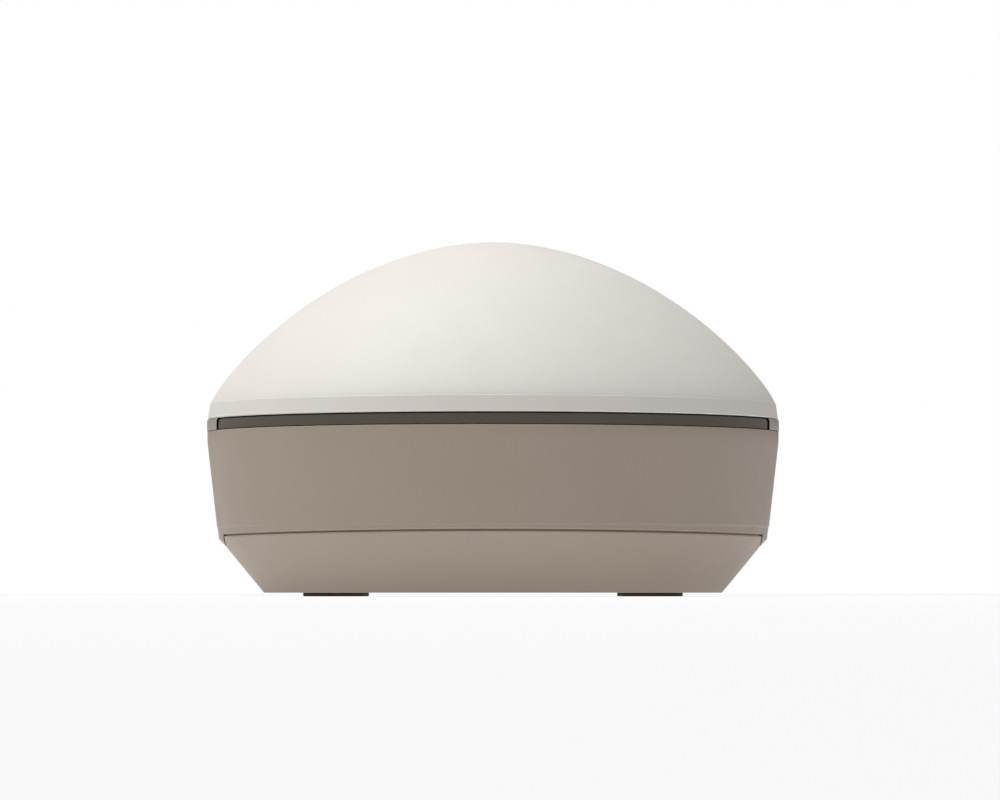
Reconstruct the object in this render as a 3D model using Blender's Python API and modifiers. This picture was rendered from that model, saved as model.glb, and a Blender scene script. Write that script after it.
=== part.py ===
"""A GNSS receiver for surveying: a white radome on a warm grey housing that screws onto a pole.

Metres, +Z up. The origin is on the axis of the pole thread, level with the underside of the feet.
The front faces -Y; the battery door, the buttons and the sockets are in the wall at the back.
"""

import math

import bmesh
import bpy
from mathutils import Matrix, Vector

# --- Sizes that can be changed by themselves -------------------------------------------------

# Outer shape. Heights are above the flat underside of the case.
OUTER_RADIUS = 0.0800
DOME_RADIUS = 0.0790
DOME_HEIGHT = 0.0454
CREASE_HEIGHT = 0.0527
RIM_HEIGHT = 0.0044
TRIM_HEIGHT = 0.0034
LEDGE_HEIGHT = 0.0197
LEDGE_DROP = 0.0017
WAIST_HEIGHT = 0.0149
BASE_RADIUS = 0.0640
WAIST_RADIUS = 0.0766
LEDGE_RADIUS = 0.0773
LEDGE_STEP = 0.0004
TRIM_STEP = 0.0001
SEAM_RISE = 0.0012
SEAM_ARCH = 0.0009
CHEEK_INSET = 0.0020
DOME_SHARPNESS = 1.92
DOME_FULLNESS = 0.83

# Walls and fits
RADOME_WALL = 0.0024
WALL = 0.0025
FLOOR = 0.0025
GAP = 0.0003
SLIP = 0.0006

# Light strip in the slot under the rim
SLOT_HALF_ANGLE = 74.2
SLOT_DEPTH = 0.0036
WINDOW_INSET = 0.0005
WINDOW_WALL = 0.0016
TRIM_WEB = 0.0024
STRIP_HALF_ANGLE = 30.0
STRIP_THICKNESS = 0.0006

# Feet
FOOT_RADIUS = 0.0086
FOOT_PROUD = 0.0010
FOOT_SINK = 0.0008
FOOT_X = 0.0438
FOOT_Y = 0.0220

# Pole thread, a 5/8 inch insert
THREAD_RADIUS = 0.0068
THREAD_DEPTH = 0.0150
INSERT_RADIUS = 0.0100
INSERT_FLANGE = 0.0150
INSERT_FLANGE_THICKNESS = 0.0020
INSERT_END = 0.0020

# Case and radome screws. The rear case screws stand this many degrees beyond the door's edges, and
# the front ones opposite them. The key recess is a share of the shank radius and of the head height.
SCREW_RADIUS = 0.0015
SCREW_HEAD_RADIUS = 0.0028
SCREW_HEAD_HEIGHT = 0.0018
KEY_WIDTH = 0.8
KEY_DEPTH = 0.6
CASE_SCREW_RING = 0.0560
CASE_SCREW_SPACE = 9.0
CASE_SCREW_LENGTH = 0.0160
CASE_POST_HEIGHT = 0.0145
POST_WALL = 0.0030
BOSS_HEIGHT = 0.0062
RADOME_SCREW_RING = 0.0706
RADOME_SCREW_ANGLES = (45.0, 135.0, 225.0, 315.0)
RADOME_SCREW_LENGTH = 0.0100
RADOME_BOSS_RADIUS = 0.0026
RADOME_BOSS_HEIGHT = 0.0125

# Shelf and main board
SHELF_THICKNESS = 0.0020
SHELF_RADIUS = 0.0620
BOARD_RADIUS = 0.0674
BOARD_THICKNESS = 0.0016
BOARD_SCREW_RING = 0.0648
BOARD_SCREW_ANGLES = (20.0, 160.0, 200.0, 340.0)
BOARD_SCREW_RADIUS = 0.0010
BOARD_SCREW_HEAD = 0.0019
BOARD_SCREW_LENGTH = 0.0034
RECEIVER_SHIELD = ((-0.0420, -0.0300), (0.0040, 0.0120), 0.0045)
RADIO_SHIELD = ((0.0100, -0.0340), (0.0420, -0.0060), 0.0040)
SIM_HOLDER = ((0.0120, 0.0040), (0.0280, 0.0200), 0.0020)

# Antenna
GROUND_RADIUS = 0.0655
GROUND_THICKNESS = 0.0016
POST_HEIGHT = 0.0100
POST_RING = 0.0540
POST_ANGLES = (45.0, 135.0, 225.0, 315.0)
POST_RADIUS = 0.0025
LOWER_PATCH_RADIUS = 0.0420
UPPER_PATCH_RADIUS = 0.0310
PATCH_THICKNESS = 0.0030
PATCH_SPACE = 0.0060
HUB_RADIUS = 0.0050
FEED_RADIUS = 0.0010

# Battery, its bay and its door, which is taller than the battery by a margin above and below
BATTERY_WIDTH = 0.0570
BATTERY_HEIGHT = 0.0162
BATTERY_LENGTH = 0.0800
BATTERY_BACK = 0.0650
BATTERY_EDGE = 0.0024
CONTACT_WIDTH = 0.0190
CONTACT_HEIGHT = 0.0081
CONTACT_DEPTH = 0.0020
BLADE_COUNT = 4
BLADE_PITCH = 0.0048
BLADE_HEIGHT = 0.0054
BLADE_WIDTH = 0.0012
BAY_WALL = 0.0015
BAY_END_SPACE = 0.0040
BAY_FLANGE = 0.0015
DOOR_HALF_ANGLE = 26.0
DOOR_DROP = 0.0011
DOOR_MARGIN = 0.0020
DOOR_WALL = 0.0020
DOOR_LAP = 0.0018
DOOR_RIB_WIDTH = 0.0240
DOOR_RIB_HEIGHT = 0.0080
HINGE_RADIUS = 0.0017
HINGE_PIN_RADIUS = 0.0007
HINGE_BORE_RADIUS = 0.0010
HINGE_SINK = 0.0006
KNUCKLE = 0.0050
LEAF = 0.0012
GRIP_LENGTH = 0.0120
GRIP_WIDTH = 0.0016
GRIP_HEIGHT = 0.0008
GRIP_SETBACK = 0.0048

# Buttons. A place round the wall is given in degrees from the edge of the door.
BUTTON_SPACE = 38.0
BUTTON_SPACING = 0.0160
BUTTON_RADIUS = 0.0042
BUTTON_FLANGE = 0.0054
BUTTON_PROUD = 0.0010
BUTTON_EDGE = 0.0004
BUTTON_TRAVEL = 0.0008
BUTTON_STEM_RADIUS = 0.0012
CONTROL_HEIGHT = 0.0330

# Sockets
PAD_DEPTH = 0.0050
USB_SPACE = 15.0
DATA_SPACE = 36.0
ANTENNA_SPACE = 16.0
FLAP_WALL = 0.0015
FLAP_PROUD = 0.0002
FLAP_BARREL = 0.0009
USB_WIDTH = 0.0090
USB_HEIGHT = 0.0032
DATA_RADIUS = 0.0055
SOCKET_DEPTH = 0.0080
COAX_RADIUS = 0.0050
COAX_BORE = 0.0034
COAX_LENGTH = 0.0085
VENT_RADIUS = 0.0040
VENT_Y = -0.0400
USB_FLAP_SIDE = 0.0026
USB_FLAP_TOP = 0.0034
DATA_FLAP_EDGE = 0.0014

# How finely round shapes are faceted, and how far cutters reach
SEGMENTS = 56
MIDDLE_SEGMENTS = 32
FINE_SEGMENTS = 24
SMALL_SEGMENTS = 16
SCREW_SEGMENTS = 12
SEAL_SEGMENTS = 6
EDGE_STEPS = 3
DOME_POINTS = 12
DOME_INNER_POINTS = 7
SEAM_POINTS = 24
SECTOR_STEP = 30.0
SMOOTH_ANGLE = 35.0
MERGE = 0.00005
FAR = 0.2000
THROUGH = 0.0500
HOLE_REACH = 0.0200

# --- Sizes that follow from those ------------------------------------------------------------

BASE_Z = FOOT_PROUD
WAIST_Z = BASE_Z + WAIST_HEIGHT
LEDGE_Z = BASE_Z + LEDGE_HEIGHT
RIM_Z = BASE_Z + CREASE_HEIGHT - RIM_HEIGHT
CREASE_Z = BASE_Z + CREASE_HEIGHT
BODY_TOP_Z = RIM_Z - TRIM_HEIGHT
SEAM_Z = WAIST_Z + SEAM_RISE
BODY_RADIUS = OUTER_RADIUS - TRIM_STEP
CHEEK_X = WAIST_RADIUS - CHEEK_INSET
TRIM_INNER = OUTER_RADIUS - SLOT_DEPTH - TRIM_WEB
SHELF_Z = BODY_TOP_Z - SHELF_THICKNESS
BOARD_Z = BODY_TOP_Z + GAP
BOARD_TOP_Z = BOARD_Z + BOARD_THICKNESS
GROUND_Z = BOARD_TOP_Z + POST_HEIGHT + 2 * GAP
LOWER_PATCH_Z = GROUND_Z + GROUND_THICKNESS + PATCH_SPACE
UPPER_PATCH_Z = LOWER_PATCH_Z + PATCH_THICKNESS + PATCH_SPACE
BAY_MID_Z = SHELF_Z - GAP - BAY_WALL - SLIP - BATTERY_HEIGHT / 2
INSERT_Z = BASE_Z
INSERT_TOP_Z = INSERT_Z + THREAD_DEPTH + INSERT_END
DRAFT = math.atan2(BODY_RADIUS - LEDGE_RADIUS, BODY_TOP_Z - LEDGE_Z)
DOOR_MID_Z = BAY_MID_Z - DOOR_DROP
DOOR_LOW_Z = DOOR_MID_Z - BATTERY_HEIGHT / 2 - DOOR_MARGIN
DOOR_HIGH_Z = DOOR_MID_Z + BATTERY_HEIGHT / 2 + DOOR_MARGIN
CASE_SCREW_ANGLES = [
    middle + side * (DOOR_HALF_ANGLE + CASE_SCREW_SPACE) for middle in (90.0, 270.0) for side in (-1, 1)
]
BUTTON_ANGLE = DOOR_HALF_ANGLE + BUTTON_SPACE
USB_ANGLE = DOOR_HALF_ANGLE + USB_SPACE
ANTENNA_ANGLE = -DOOR_HALF_ANGLE - ANTENNA_SPACE
DATA_ANGLE = -DOOR_HALF_ANGLE - DATA_SPACE
CONTROL_Z = BASE_Z + CONTROL_HEIGHT

for old in list(bpy.data.objects):
    bpy.data.objects.remove(old)

PARTS = bpy.data.collections.new("gnss_receiver")
CUTTERS = bpy.data.collections.new("cutters")
for group in (PARTS, CUTTERS):
    bpy.context.scene.collection.children.link(group)


def material(name, colour, roughness, metallic=0.0):
    """A plain Principled material; colour is linear red, green, blue."""
    made = bpy.data.materials.new(name)
    made.use_nodes = True
    shader = made.node_tree.nodes["Principled BSDF"]
    shader.inputs["Base Color"].default_value = (*colour, 1.0)
    shader.inputs["Roughness"].default_value = roughness
    shader.inputs["Metallic"].default_value = metallic
    return made


WHITE = material("white_radome", (0.80, 0.78, 0.74), 0.45)
TAUPE = material("warm_grey_case", (0.33, 0.27, 0.23), 0.50)
GREY = material("trim_grey", (0.27, 0.25, 0.23), 0.50)
SMOKE = material("smoked_window", (0.05, 0.045, 0.04), 0.15)
RUBBER = material("black_rubber", (0.02, 0.02, 0.02), 0.80)
STEEL = material("steel", (0.55, 0.55, 0.55), 0.30, 1.0)
BRASS = material("brass", (0.60, 0.42, 0.16), 0.30, 1.0)
ALUMINIUM = material("aluminium", (0.70, 0.70, 0.72), 0.35, 1.0)
BOARD = material("circuit_board", (0.01, 0.12, 0.05), 0.45)
BLACK = material("black_plastic", (0.03, 0.03, 0.03), 0.45)
CERAMIC = material("antenna_laminate", (0.55, 0.50, 0.38), 0.60)
CELL = material("battery_wrap", (0.05, 0.06, 0.09), 0.40)


# --- Modelling helpers -----------------------------------------------------------------------

def add(name, mesh, look, frame=None, cutter=False):
    """Put a mesh in the scene, as a part or as a cutter."""
    made = bpy.data.objects.new(name, mesh)
    if look:
        mesh.materials.append(look)
    if frame is not None:
        made.matrix_world = frame
    (CUTTERS if cutter else PARTS).objects.link(made)
    if cutter:
        made.hide_render = True
        made.display_type = "WIRE"
    return made


def from_bmesh(name, shape):
    mesh = bpy.data.meshes.new(name)
    bmesh.ops.recalc_face_normals(shape, faces=shape.faces)
    shape.to_mesh(mesh)
    shape.free()
    return mesh


def box(name, low, high, look=None, frame=None, cutter=False, bevel=0.0):
    """A block between two corners, with its upright edges rounded if bevel is given."""
    low, high = Vector(low), Vector(high)
    shape = bmesh.new()
    bmesh.ops.create_cube(shape, size=1.0)
    bmesh.ops.scale(shape, vec=high - low, verts=shape.verts)
    bmesh.ops.translate(shape, vec=(low + high) / 2, verts=shape.verts)
    if bevel:
        upright = [edge for edge in shape.edges if abs((edge.verts[0].co - edge.verts[1].co).z) > MERGE]
        bmesh.ops.bevel(shape, geom=upright, offset=bevel, segments=EDGE_STEPS, affect="EDGES", profile=0.5)
    return add(name, from_bmesh(name, shape), look, frame, cutter)


def rod(name, radius, low, high, look=None, frame=None, at=(0.0, 0.0), cutter=False, sides=SMALL_SEGMENTS):
    """A round bar along the frame's Z."""
    shape = bmesh.new()
    bmesh.ops.create_cone(
        shape, cap_ends=True, segments=sides, radius1=radius, radius2=radius, depth=high - low
    )
    bmesh.ops.translate(shape, vec=(*at, (low + high) / 2), verts=shape.verts)
    made = add(name, from_bmesh(name, shape), look, frame, cutter)
    made.data.shade_smooth()
    made.data.set_sharp_from_angle(angle=math.radians(SMOOTH_ANGLE))
    return made


def turned(name, profile, look=None, frame=None, cutter=False, closed=False, steps=SEGMENTS):
    """A profile of (radius, height) points, outer side first from the top, turned about Z."""
    mesh = bpy.data.meshes.new(name)
    edges = [(i, i + 1) for i in range(len(profile) - 1)]
    if closed:
        edges.append((len(profile) - 1, 0))
    mesh.from_pydata([(radius, 0.0, height) for radius, height in profile], edges, [])
    made = add(name, mesh, look, frame, cutter)
    screw = made.modifiers.new("Turn", "SCREW")
    screw.steps = screw.render_steps = steps
    screw.use_merge_vertices = True
    screw.merge_threshold = MERGE
    screw.use_smooth_shade = True
    return made


def ring(name, inner, outer, low, high, look=None, frame=None, cutter=False, steps=SEGMENTS):
    return turned(
        name, [(outer, high), (outer, low), (inner, low), (inner, high)], look, frame, cutter, True, steps
    )


def prism(name, outline, low, high):
    """A cutter with a flat outline in X and Y between two heights."""
    shape = bmesh.new()
    face = shape.faces.new([shape.verts.new((x, y, low)) for x, y in outline])
    raised = bmesh.ops.extrude_face_region(shape, geom=[face])["geom"]
    corners = [item for item in raised if isinstance(item, bmesh.types.BMVert)]
    bmesh.ops.translate(shape, vec=(0, 0, high - low), verts=corners)
    return add(name, from_bmesh(name, shape), None, None, True)


def sector(name, centre, half_angle, low, high, reach=FAR):
    """A wedge cutter from the axis outwards; centre is in degrees from +X."""
    steps = max(2, math.ceil(half_angle / SECTOR_STEP))
    angles = [centre - half_angle + i * half_angle / steps for i in range(2 * steps + 1)]
    arc = [(reach * math.cos(math.radians(a)), reach * math.sin(math.radians(a))) for a in angles]
    return prism(name, [(0.0, 0.0), *arc], low, high)


def combine(target, tool, operation):
    boolean = target.modifiers.new(tool.name, "BOOLEAN")
    boolean.operation = operation
    boolean.object = tool
    return target


def cut(target, tool):
    return combine(target, tool, "DIFFERENCE")


def keep(target, tool):
    return combine(target, tool, "INTERSECT")


def join(target, tool):
    return combine(target, tool, "UNION")


def around(ring_radius, degrees):
    """The X and Y of a place on a ring, from +X."""
    return ring_radius * math.cos(math.radians(degrees)), ring_radius * math.sin(math.radians(degrees))


def wall_radius(height):
    """Outer radius of the sloping wall of the housing."""
    return LEDGE_RADIUS + (height - LEDGE_Z) * math.tan(DRAFT)


def wall_frame(degrees, height):
    """A frame on the outer wall: X along it, Y up it, Z out of it; degrees are from +Y towards +X."""
    turn = Matrix.Rotation(-math.radians(degrees), 4, "Z")
    to_wall = Matrix.Translation((0.0, wall_radius(height), height))
    face_out = Matrix(((-1, 0, 0, 0), (0, 0, 1, 0), (0, 1, 0, 0), (0, 0, 0, 1)))
    lean = Matrix.Rotation(-DRAFT, 4, "X")
    return turn @ to_wall @ lean @ face_out


def wall_shell(name, outset, thickness, low, high, look=None, cutter=False):
    """A turned shell that follows the slope of the wall, with its outer side outset from it."""
    return turned(
        name,
        [
            (wall_radius(high) + outset, high),
            (wall_radius(low) + outset, low),
            (wall_radius(low) + outset - thickness, low),
            (wall_radius(high) + outset - thickness, high),
        ],
        look,
        None,
        cutter,
        True,
    )


def dome_profile(radius, height, low, points):
    """The crown's outline from the top down: steeper at its edge, fuller than a cone in between."""
    outline = []
    for i in range(points + 1):
        share = math.sin(math.radians(90.0 * i / points))
        rise = (1.0 - share**DOME_SHARPNESS) ** DOME_FULLNESS
        outline.append((radius * share, low + height * rise))
    return outline


def seam_height(x):
    """Height of the arched seam between the housing and the lower case."""
    return SEAM_Z + SEAM_ARCH * (1.0 - (x / CHEEK_X) ** 2)


def below_seam(name, drop, side_gap):
    """A cutter for all that lies under the arched seam, between the two cheeks."""
    half = CHEEK_X - side_gap
    xs = [half - 2 * half * i / SEAM_POINTS for i in range(SEAM_POINTS + 1)]
    outline = [(-half, -FAR), (half, -FAR)] + [(x, seam_height(x) - drop) for x in xs]
    made = prism(name, outline, -FAR / 2, FAR / 2)
    made.matrix_world = Matrix.Rotation(math.radians(90), 4, "X")
    return made


# --- Radome and seal -------------------------------------------------------------------------

def make_radome():
    outer = dome_profile(DOME_RADIUS, DOME_HEIGHT, CREASE_Z, DOME_POINTS)
    inner = dome_profile(
        DOME_RADIUS - RADOME_WALL, DOME_HEIGHT - RADOME_WALL, CREASE_Z, DOME_INNER_POINTS
    )
    rim = [(OUTER_RADIUS, RIM_Z), (TRIM_INNER, RIM_Z)]
    radome = turned("radome", outer + rim + inner[::-1], WHITE)
    low = BODY_TOP_Z + BOARD_THICKNESS
    for i, degrees in enumerate(RADOME_SCREW_ANGLES):
        frame = Matrix.Rotation(math.radians(degrees), 4, "Z")
        join(radome, rod(
            f"radome_boss_{i}", RADOME_BOSS_RADIUS, low, low + RADOME_BOSS_HEIGHT, None, frame,
            (RADOME_SCREW_RING, 0.0), True,
        ))
        join(radome, box(
            f"radome_rib_{i}", (RADOME_SCREW_RING, -LEAF, RIM_Z + LEAF),
            (DOME_RADIUS - RADOME_WALL / 2, LEAF, CREASE_Z + LEAF), None, frame, True,
        ))
        cut(radome, rod(
            f"radome_pilot_{i}", SCREW_RADIUS + GAP, low - LEAF, low + RADOME_SCREW_LENGTH, None, frame,
            (RADOME_SCREW_RING, 0.0), True,
        ))
    for i, degrees in enumerate(RADOME_SCREW_ANGLES):
        frame = Matrix.Rotation(math.radians(degrees), 4, "Z") @ Matrix.Translation(
            (RADOME_SCREW_RING, 0.0, SHELF_Z - GAP)
        )
        make_screw(f"radome_screw_{i + 1}", frame, SCREW_RADIUS, SCREW_HEAD_RADIUS, SCREW_HEAD_HEIGHT,
                   RADOME_SCREW_LENGTH)
    return radome


def make_screw(name, frame, radius, head_radius, head_height, length):
    """A pan head below the frame's origin and a shank above it, with a six-sided key recess."""
    screw = turned(
        name,
        [(0.0, length), (radius, length), (radius, 0.0), (head_radius, 0.0),
         (head_radius, -head_height), (0.0, -head_height)],
        STEEL, frame, steps=SCREW_SEGMENTS,
    )
    return cut(screw, rod(
        name + "_key", radius * KEY_WIDTH, -head_height - LEAF, head_height * (KEY_DEPTH - 1.0), None, frame,
        cutter=True, sides=6,
    ))


def make_gasket():
    """The cord seal that the rim presses into a groove in the trim ring."""
    middle = (TRIM_INNER + OUTER_RADIUS - SLOT_DEPTH) / 2
    bpy.ops.mesh.primitive_torus_add(
        major_segments=SEGMENTS, minor_segments=SEAL_SEGMENTS, major_radius=middle, minor_radius=SLIP,
        location=(0, 0, RIM_Z - GAP - SLIP),
    )
    made = bpy.context.object
    made.name = "radome_gasket"
    made.data.materials.append(RUBBER)
    for owner in list(made.users_collection):
        owner.objects.unlink(made)
    PARTS.objects.link(made)


# --- Trim ring and light strips --------------------------------------------------------------

def make_trim():
    web = OUTER_RADIUS - SLOT_DEPTH
    low = BODY_TOP_Z + GAP / 2
    high = RIM_Z - GAP / 2
    middle = (TRIM_INNER + web) / 2
    groove_half = SLIP + GAP
    groove_low = RIM_Z - GAP - 2 * SLIP - GAP
    trim = turned(
        "trim_ring",
        [(web, high), (web, low), (TRIM_INNER, low), (TRIM_INNER, high), (middle - groove_half, high),
         (middle - groove_half, groove_low), (middle + groove_half, groove_low),
         (middle + groove_half, high)],
        GREY, closed=True,
    )
    for side, centre in (("right", 0.0), ("left", 180.0)):
        lug = ring(f"lug_{side}", web - SLIP / 4, OUTER_RADIUS, low, high, cutter=True)
        keep(lug, sector(f"lug_sector_{side}", centre, 90.0 - SLOT_HALF_ANGLE, 0.0, FAR))
        join(trim, lug)
    window_outer = OUTER_RADIUS - WINDOW_INSET
    window_half = SLOT_HALF_ANGLE - math.degrees(GAP / OUTER_RADIUS)
    strip_outer = window_outer - WINDOW_WALL - 2 * GAP
    for side, centre in (("front", 270.0), ("back", 90.0)):
        window = ring(
            f"light_window_{side}", window_outer - WINDOW_WALL, window_outer, low, high - GAP, SMOKE
        )
        keep(window, sector(f"window_sector_{side}", centre, window_half, 0.0, FAR))
        strip = ring(
            f"led_strip_{side}", strip_outer - STRIP_THICKNESS, strip_outer, low + GAP, high - 2 * GAP, BOARD
        )
        keep(strip, sector(f"strip_sector_{side}", centre, STRIP_HALF_ANGLE, 0.0, FAR))


# --- Housing ---------------------------------------------------------------------------------

def control_pad(name, frame, half_width, half_height):
    """A thick place behind the wall that carries a socket or the buttons."""
    return box(
        name, (-half_width, -half_height, -PAD_DEPTH), (half_width, half_height, -WALL / 2),
        None, frame, True,
    )


def make_housing():
    inner_top = wall_radius(SHELF_Z) - WALL
    inner_waist = WAIST_RADIUS - WALL
    cheek_low = WAIST_Z - CHEEK_INSET
    housing = turned(
        "housing",
        [
            (BODY_RADIUS, BODY_TOP_Z), (LEDGE_RADIUS, LEDGE_Z),
            (LEDGE_RADIUS - LEDGE_STEP, LEDGE_Z - LEDGE_DROP), (WAIST_RADIUS, WAIST_Z),
            (CHEEK_X, cheek_low), (inner_waist, cheek_low), (inner_waist, WAIST_Z),
            (LEDGE_RADIUS - WALL, LEDGE_Z), (inner_top, SHELF_Z), (SHELF_RADIUS, SHELF_Z),
            (SHELF_RADIUS, BODY_TOP_Z),
        ],
        TAUPE, closed=True,
    )
    boss_low = BASE_Z + CASE_POST_HEIGHT + GAP
    cut(housing, below_seam("under_housing", 0.0, 0.0))
    for i, degrees in enumerate(CASE_SCREW_ANGLES):
        frame = Matrix.Rotation(math.radians(degrees), 4, "Z")
        radius = SCREW_RADIUS + POST_WALL
        join(housing, box(
            f"boss_rib_{i}", (CASE_SCREW_RING, -radius / 2, seam_height(0.0) + GAP),
            (inner_waist + WALL / 2, radius / 2, boss_low + BOSS_HEIGHT), None, frame, True,
        ))
        join(housing, rod(
            f"boss_{i}", radius, boss_low, boss_low + BOSS_HEIGHT, None, frame, (CASE_SCREW_RING, 0.0), True
        ))
        cut(housing, rod(
            f"boss_bore_{i}", SCREW_RADIUS + GAP, boss_low - LEAF, boss_low + BOSS_HEIGHT + LEAF, None, frame,
            (CASE_SCREW_RING, 0.0), True,
        ))
    for i, degrees in enumerate(RADOME_SCREW_ANGLES):
        cut(housing, rod(
            f"shelf_bore_{i}", SCREW_RADIUS + GAP, SHELF_Z - LEAF, BODY_TOP_Z + LEAF, None,
            Matrix.Rotation(math.radians(degrees), 4, "Z"), (RADOME_SCREW_RING, 0.0), True,
        ))
    for i, degrees in enumerate(BOARD_SCREW_ANGLES):
        frame = Matrix.Rotation(math.radians(degrees), 4, "Z")
        low = SHELF_Z - BOARD_SCREW_LENGTH / 2
        join(housing, rod(
            f"board_boss_{i}", BOARD_SCREW_HEAD, low, SHELF_Z + LEAF, None, frame,
            (BOARD_SCREW_RING, 0.0), True
        ))
        cut(housing, rod(
            f"board_bore_{i}", BOARD_SCREW_RADIUS + GAP, BODY_TOP_Z - BOARD_SCREW_LENGTH, BODY_TOP_Z + LEAF,
            None, frame, (BOARD_SCREW_RING, 0.0), True,
        ))
    open_for_door(housing)
    open_for_controls(housing)
    return housing


def door_hinge_frame():
    """Y runs along the hinge axis, Z out of the wall; the door lies on the far side of X from the wall."""
    half_door = math.degrees((GAP + HINGE_RADIUS) / wall_radius(DOOR_MID_Z))
    frame = wall_frame(DOOR_HALF_ANGLE + half_door, DOOR_MID_Z)
    return frame @ Matrix.Translation((0.0, 0.0, -HINGE_SINK))


def knuckle_spans():
    """The low and high ends, along the hinge, of the lower, middle and upper knuckles."""
    middle = KNUCKLE / 2
    return {
        "low": (-middle - GAP - KNUCKLE, -middle - GAP),
        "middle": (-middle, middle),
        "high": (middle + GAP, middle + GAP + KNUCKLE),
    }


def along_y(frame):
    """A frame whose Z is the given frame's Y."""
    return frame @ Matrix.Rotation(math.radians(-90), 4, "X")


def add_knuckle(target, name, side):
    """A hinge barrel with the leaf that ties it to its owner; side is +1 or -1 along the hinge's X."""
    frame = door_hinge_frame()
    low, high = knuckle_spans()[name]
    join(target, rod(
        f"{target.name}_barrel_{name}", HINGE_RADIUS, low, high, None, along_y(frame), cutter=True
    ))
    reach = HINGE_RADIUS + 4 * GAP + LEAF
    ends = sorted((0.0, side * reach))
    join(target, box(
        f"{target.name}_leaf_{name}", (ends[0], low + GAP, -LEAF),
        (ends[1], high - GAP, HINGE_SINK - GAP), None,
        frame, True,
    ))
    cut(target, rod(
        f"{target.name}_bore_{name}", HINGE_BORE_RADIUS, low - LEAF, high + LEAF, None, along_y(frame),
        cutter=True,
    ))


def doorway():
    """The middle, from +X, and the half angle of the door's opening, with the barrels' room on one side."""
    hinge_room = math.degrees(2 * (HINGE_RADIUS + GAP) / wall_radius(DOOR_MID_Z))
    gap_angle = math.degrees(GAP / wall_radius(DOOR_MID_Z))
    return 90.0 - (hinge_room - gap_angle) / 2, DOOR_HALF_ANGLE + (hinge_room + gap_angle) / 2


def open_for_door(housing):
    """The doorway and the two knuckles on the housing."""
    centre, half = doorway()
    cut(housing, sector("doorway", centre, half, DOOR_LOW_Z - GAP, DOOR_HIGH_Z + GAP))
    for name in ("low", "high"):
        add_knuckle(housing, name, -1.0)


def open_for_controls(housing):
    """Thick places, pockets and holes for the sockets and the buttons."""
    frame = wall_frame(BUTTON_ANGLE, CONTROL_Z)
    join(housing, control_pad("button_pad", frame, BUTTON_SPACING + LEAF, 2 * BUTTON_RADIUS))
    for i, x in enumerate((-BUTTON_SPACING / 2, BUTTON_SPACING / 2)):
        cut(housing, rod(
            f"button_hole_{i}", BUTTON_RADIUS + GAP, -PAD_DEPTH - LEAF, PAD_DEPTH, None, frame, (x, 0.0), True
        ))
        cut(housing, rod(
            f"button_seat_{i}", BUTTON_FLANGE + GAP, -PAD_DEPTH - LEAF, -WALL + GAP, None, frame,
            (x, 0.0), True
        ))
    for name, degrees, half_width, half_height in flap_sizes():
        frame = wall_frame(degrees, CONTROL_Z)
        join(housing, control_pad(f"{name}_pad", frame, half_width + WALL, half_height + WALL))
        cut(housing, box(
            f"{name}_pocket", (-half_width - GAP, -half_height - 2 * FLAP_BARREL - GAP, -FLAP_WALL - GAP),
            (half_width + GAP, half_height + GAP, PAD_DEPTH), None, frame, True,
        ))
        if name == "usb":
            cut(housing, box(
                "usb_hole", (-USB_WIDTH / 2 - SLIP - GAP, -USB_HEIGHT / 2 - SLIP - GAP, -HOLE_REACH),
                (USB_WIDTH / 2 + SLIP + GAP, USB_HEIGHT / 2 + SLIP + GAP, 0.0), None, frame, True,
            ))
        else:
            cut(housing, rod("data_hole", DATA_RADIUS + GAP, -HOLE_REACH, 0.0, None, frame, cutter=True))
    frame = wall_frame(ANTENNA_ANGLE, CONTROL_Z)
    join(housing, control_pad("coax_pad", frame, COAX_RADIUS + WALL, COAX_RADIUS + WALL))
    cut(housing, rod("coax_hole", COAX_RADIUS + GAP, -HOLE_REACH, PAD_DEPTH, None, frame, cutter=True))


# --- Lower case ------------------------------------------------------------------------------

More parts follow.
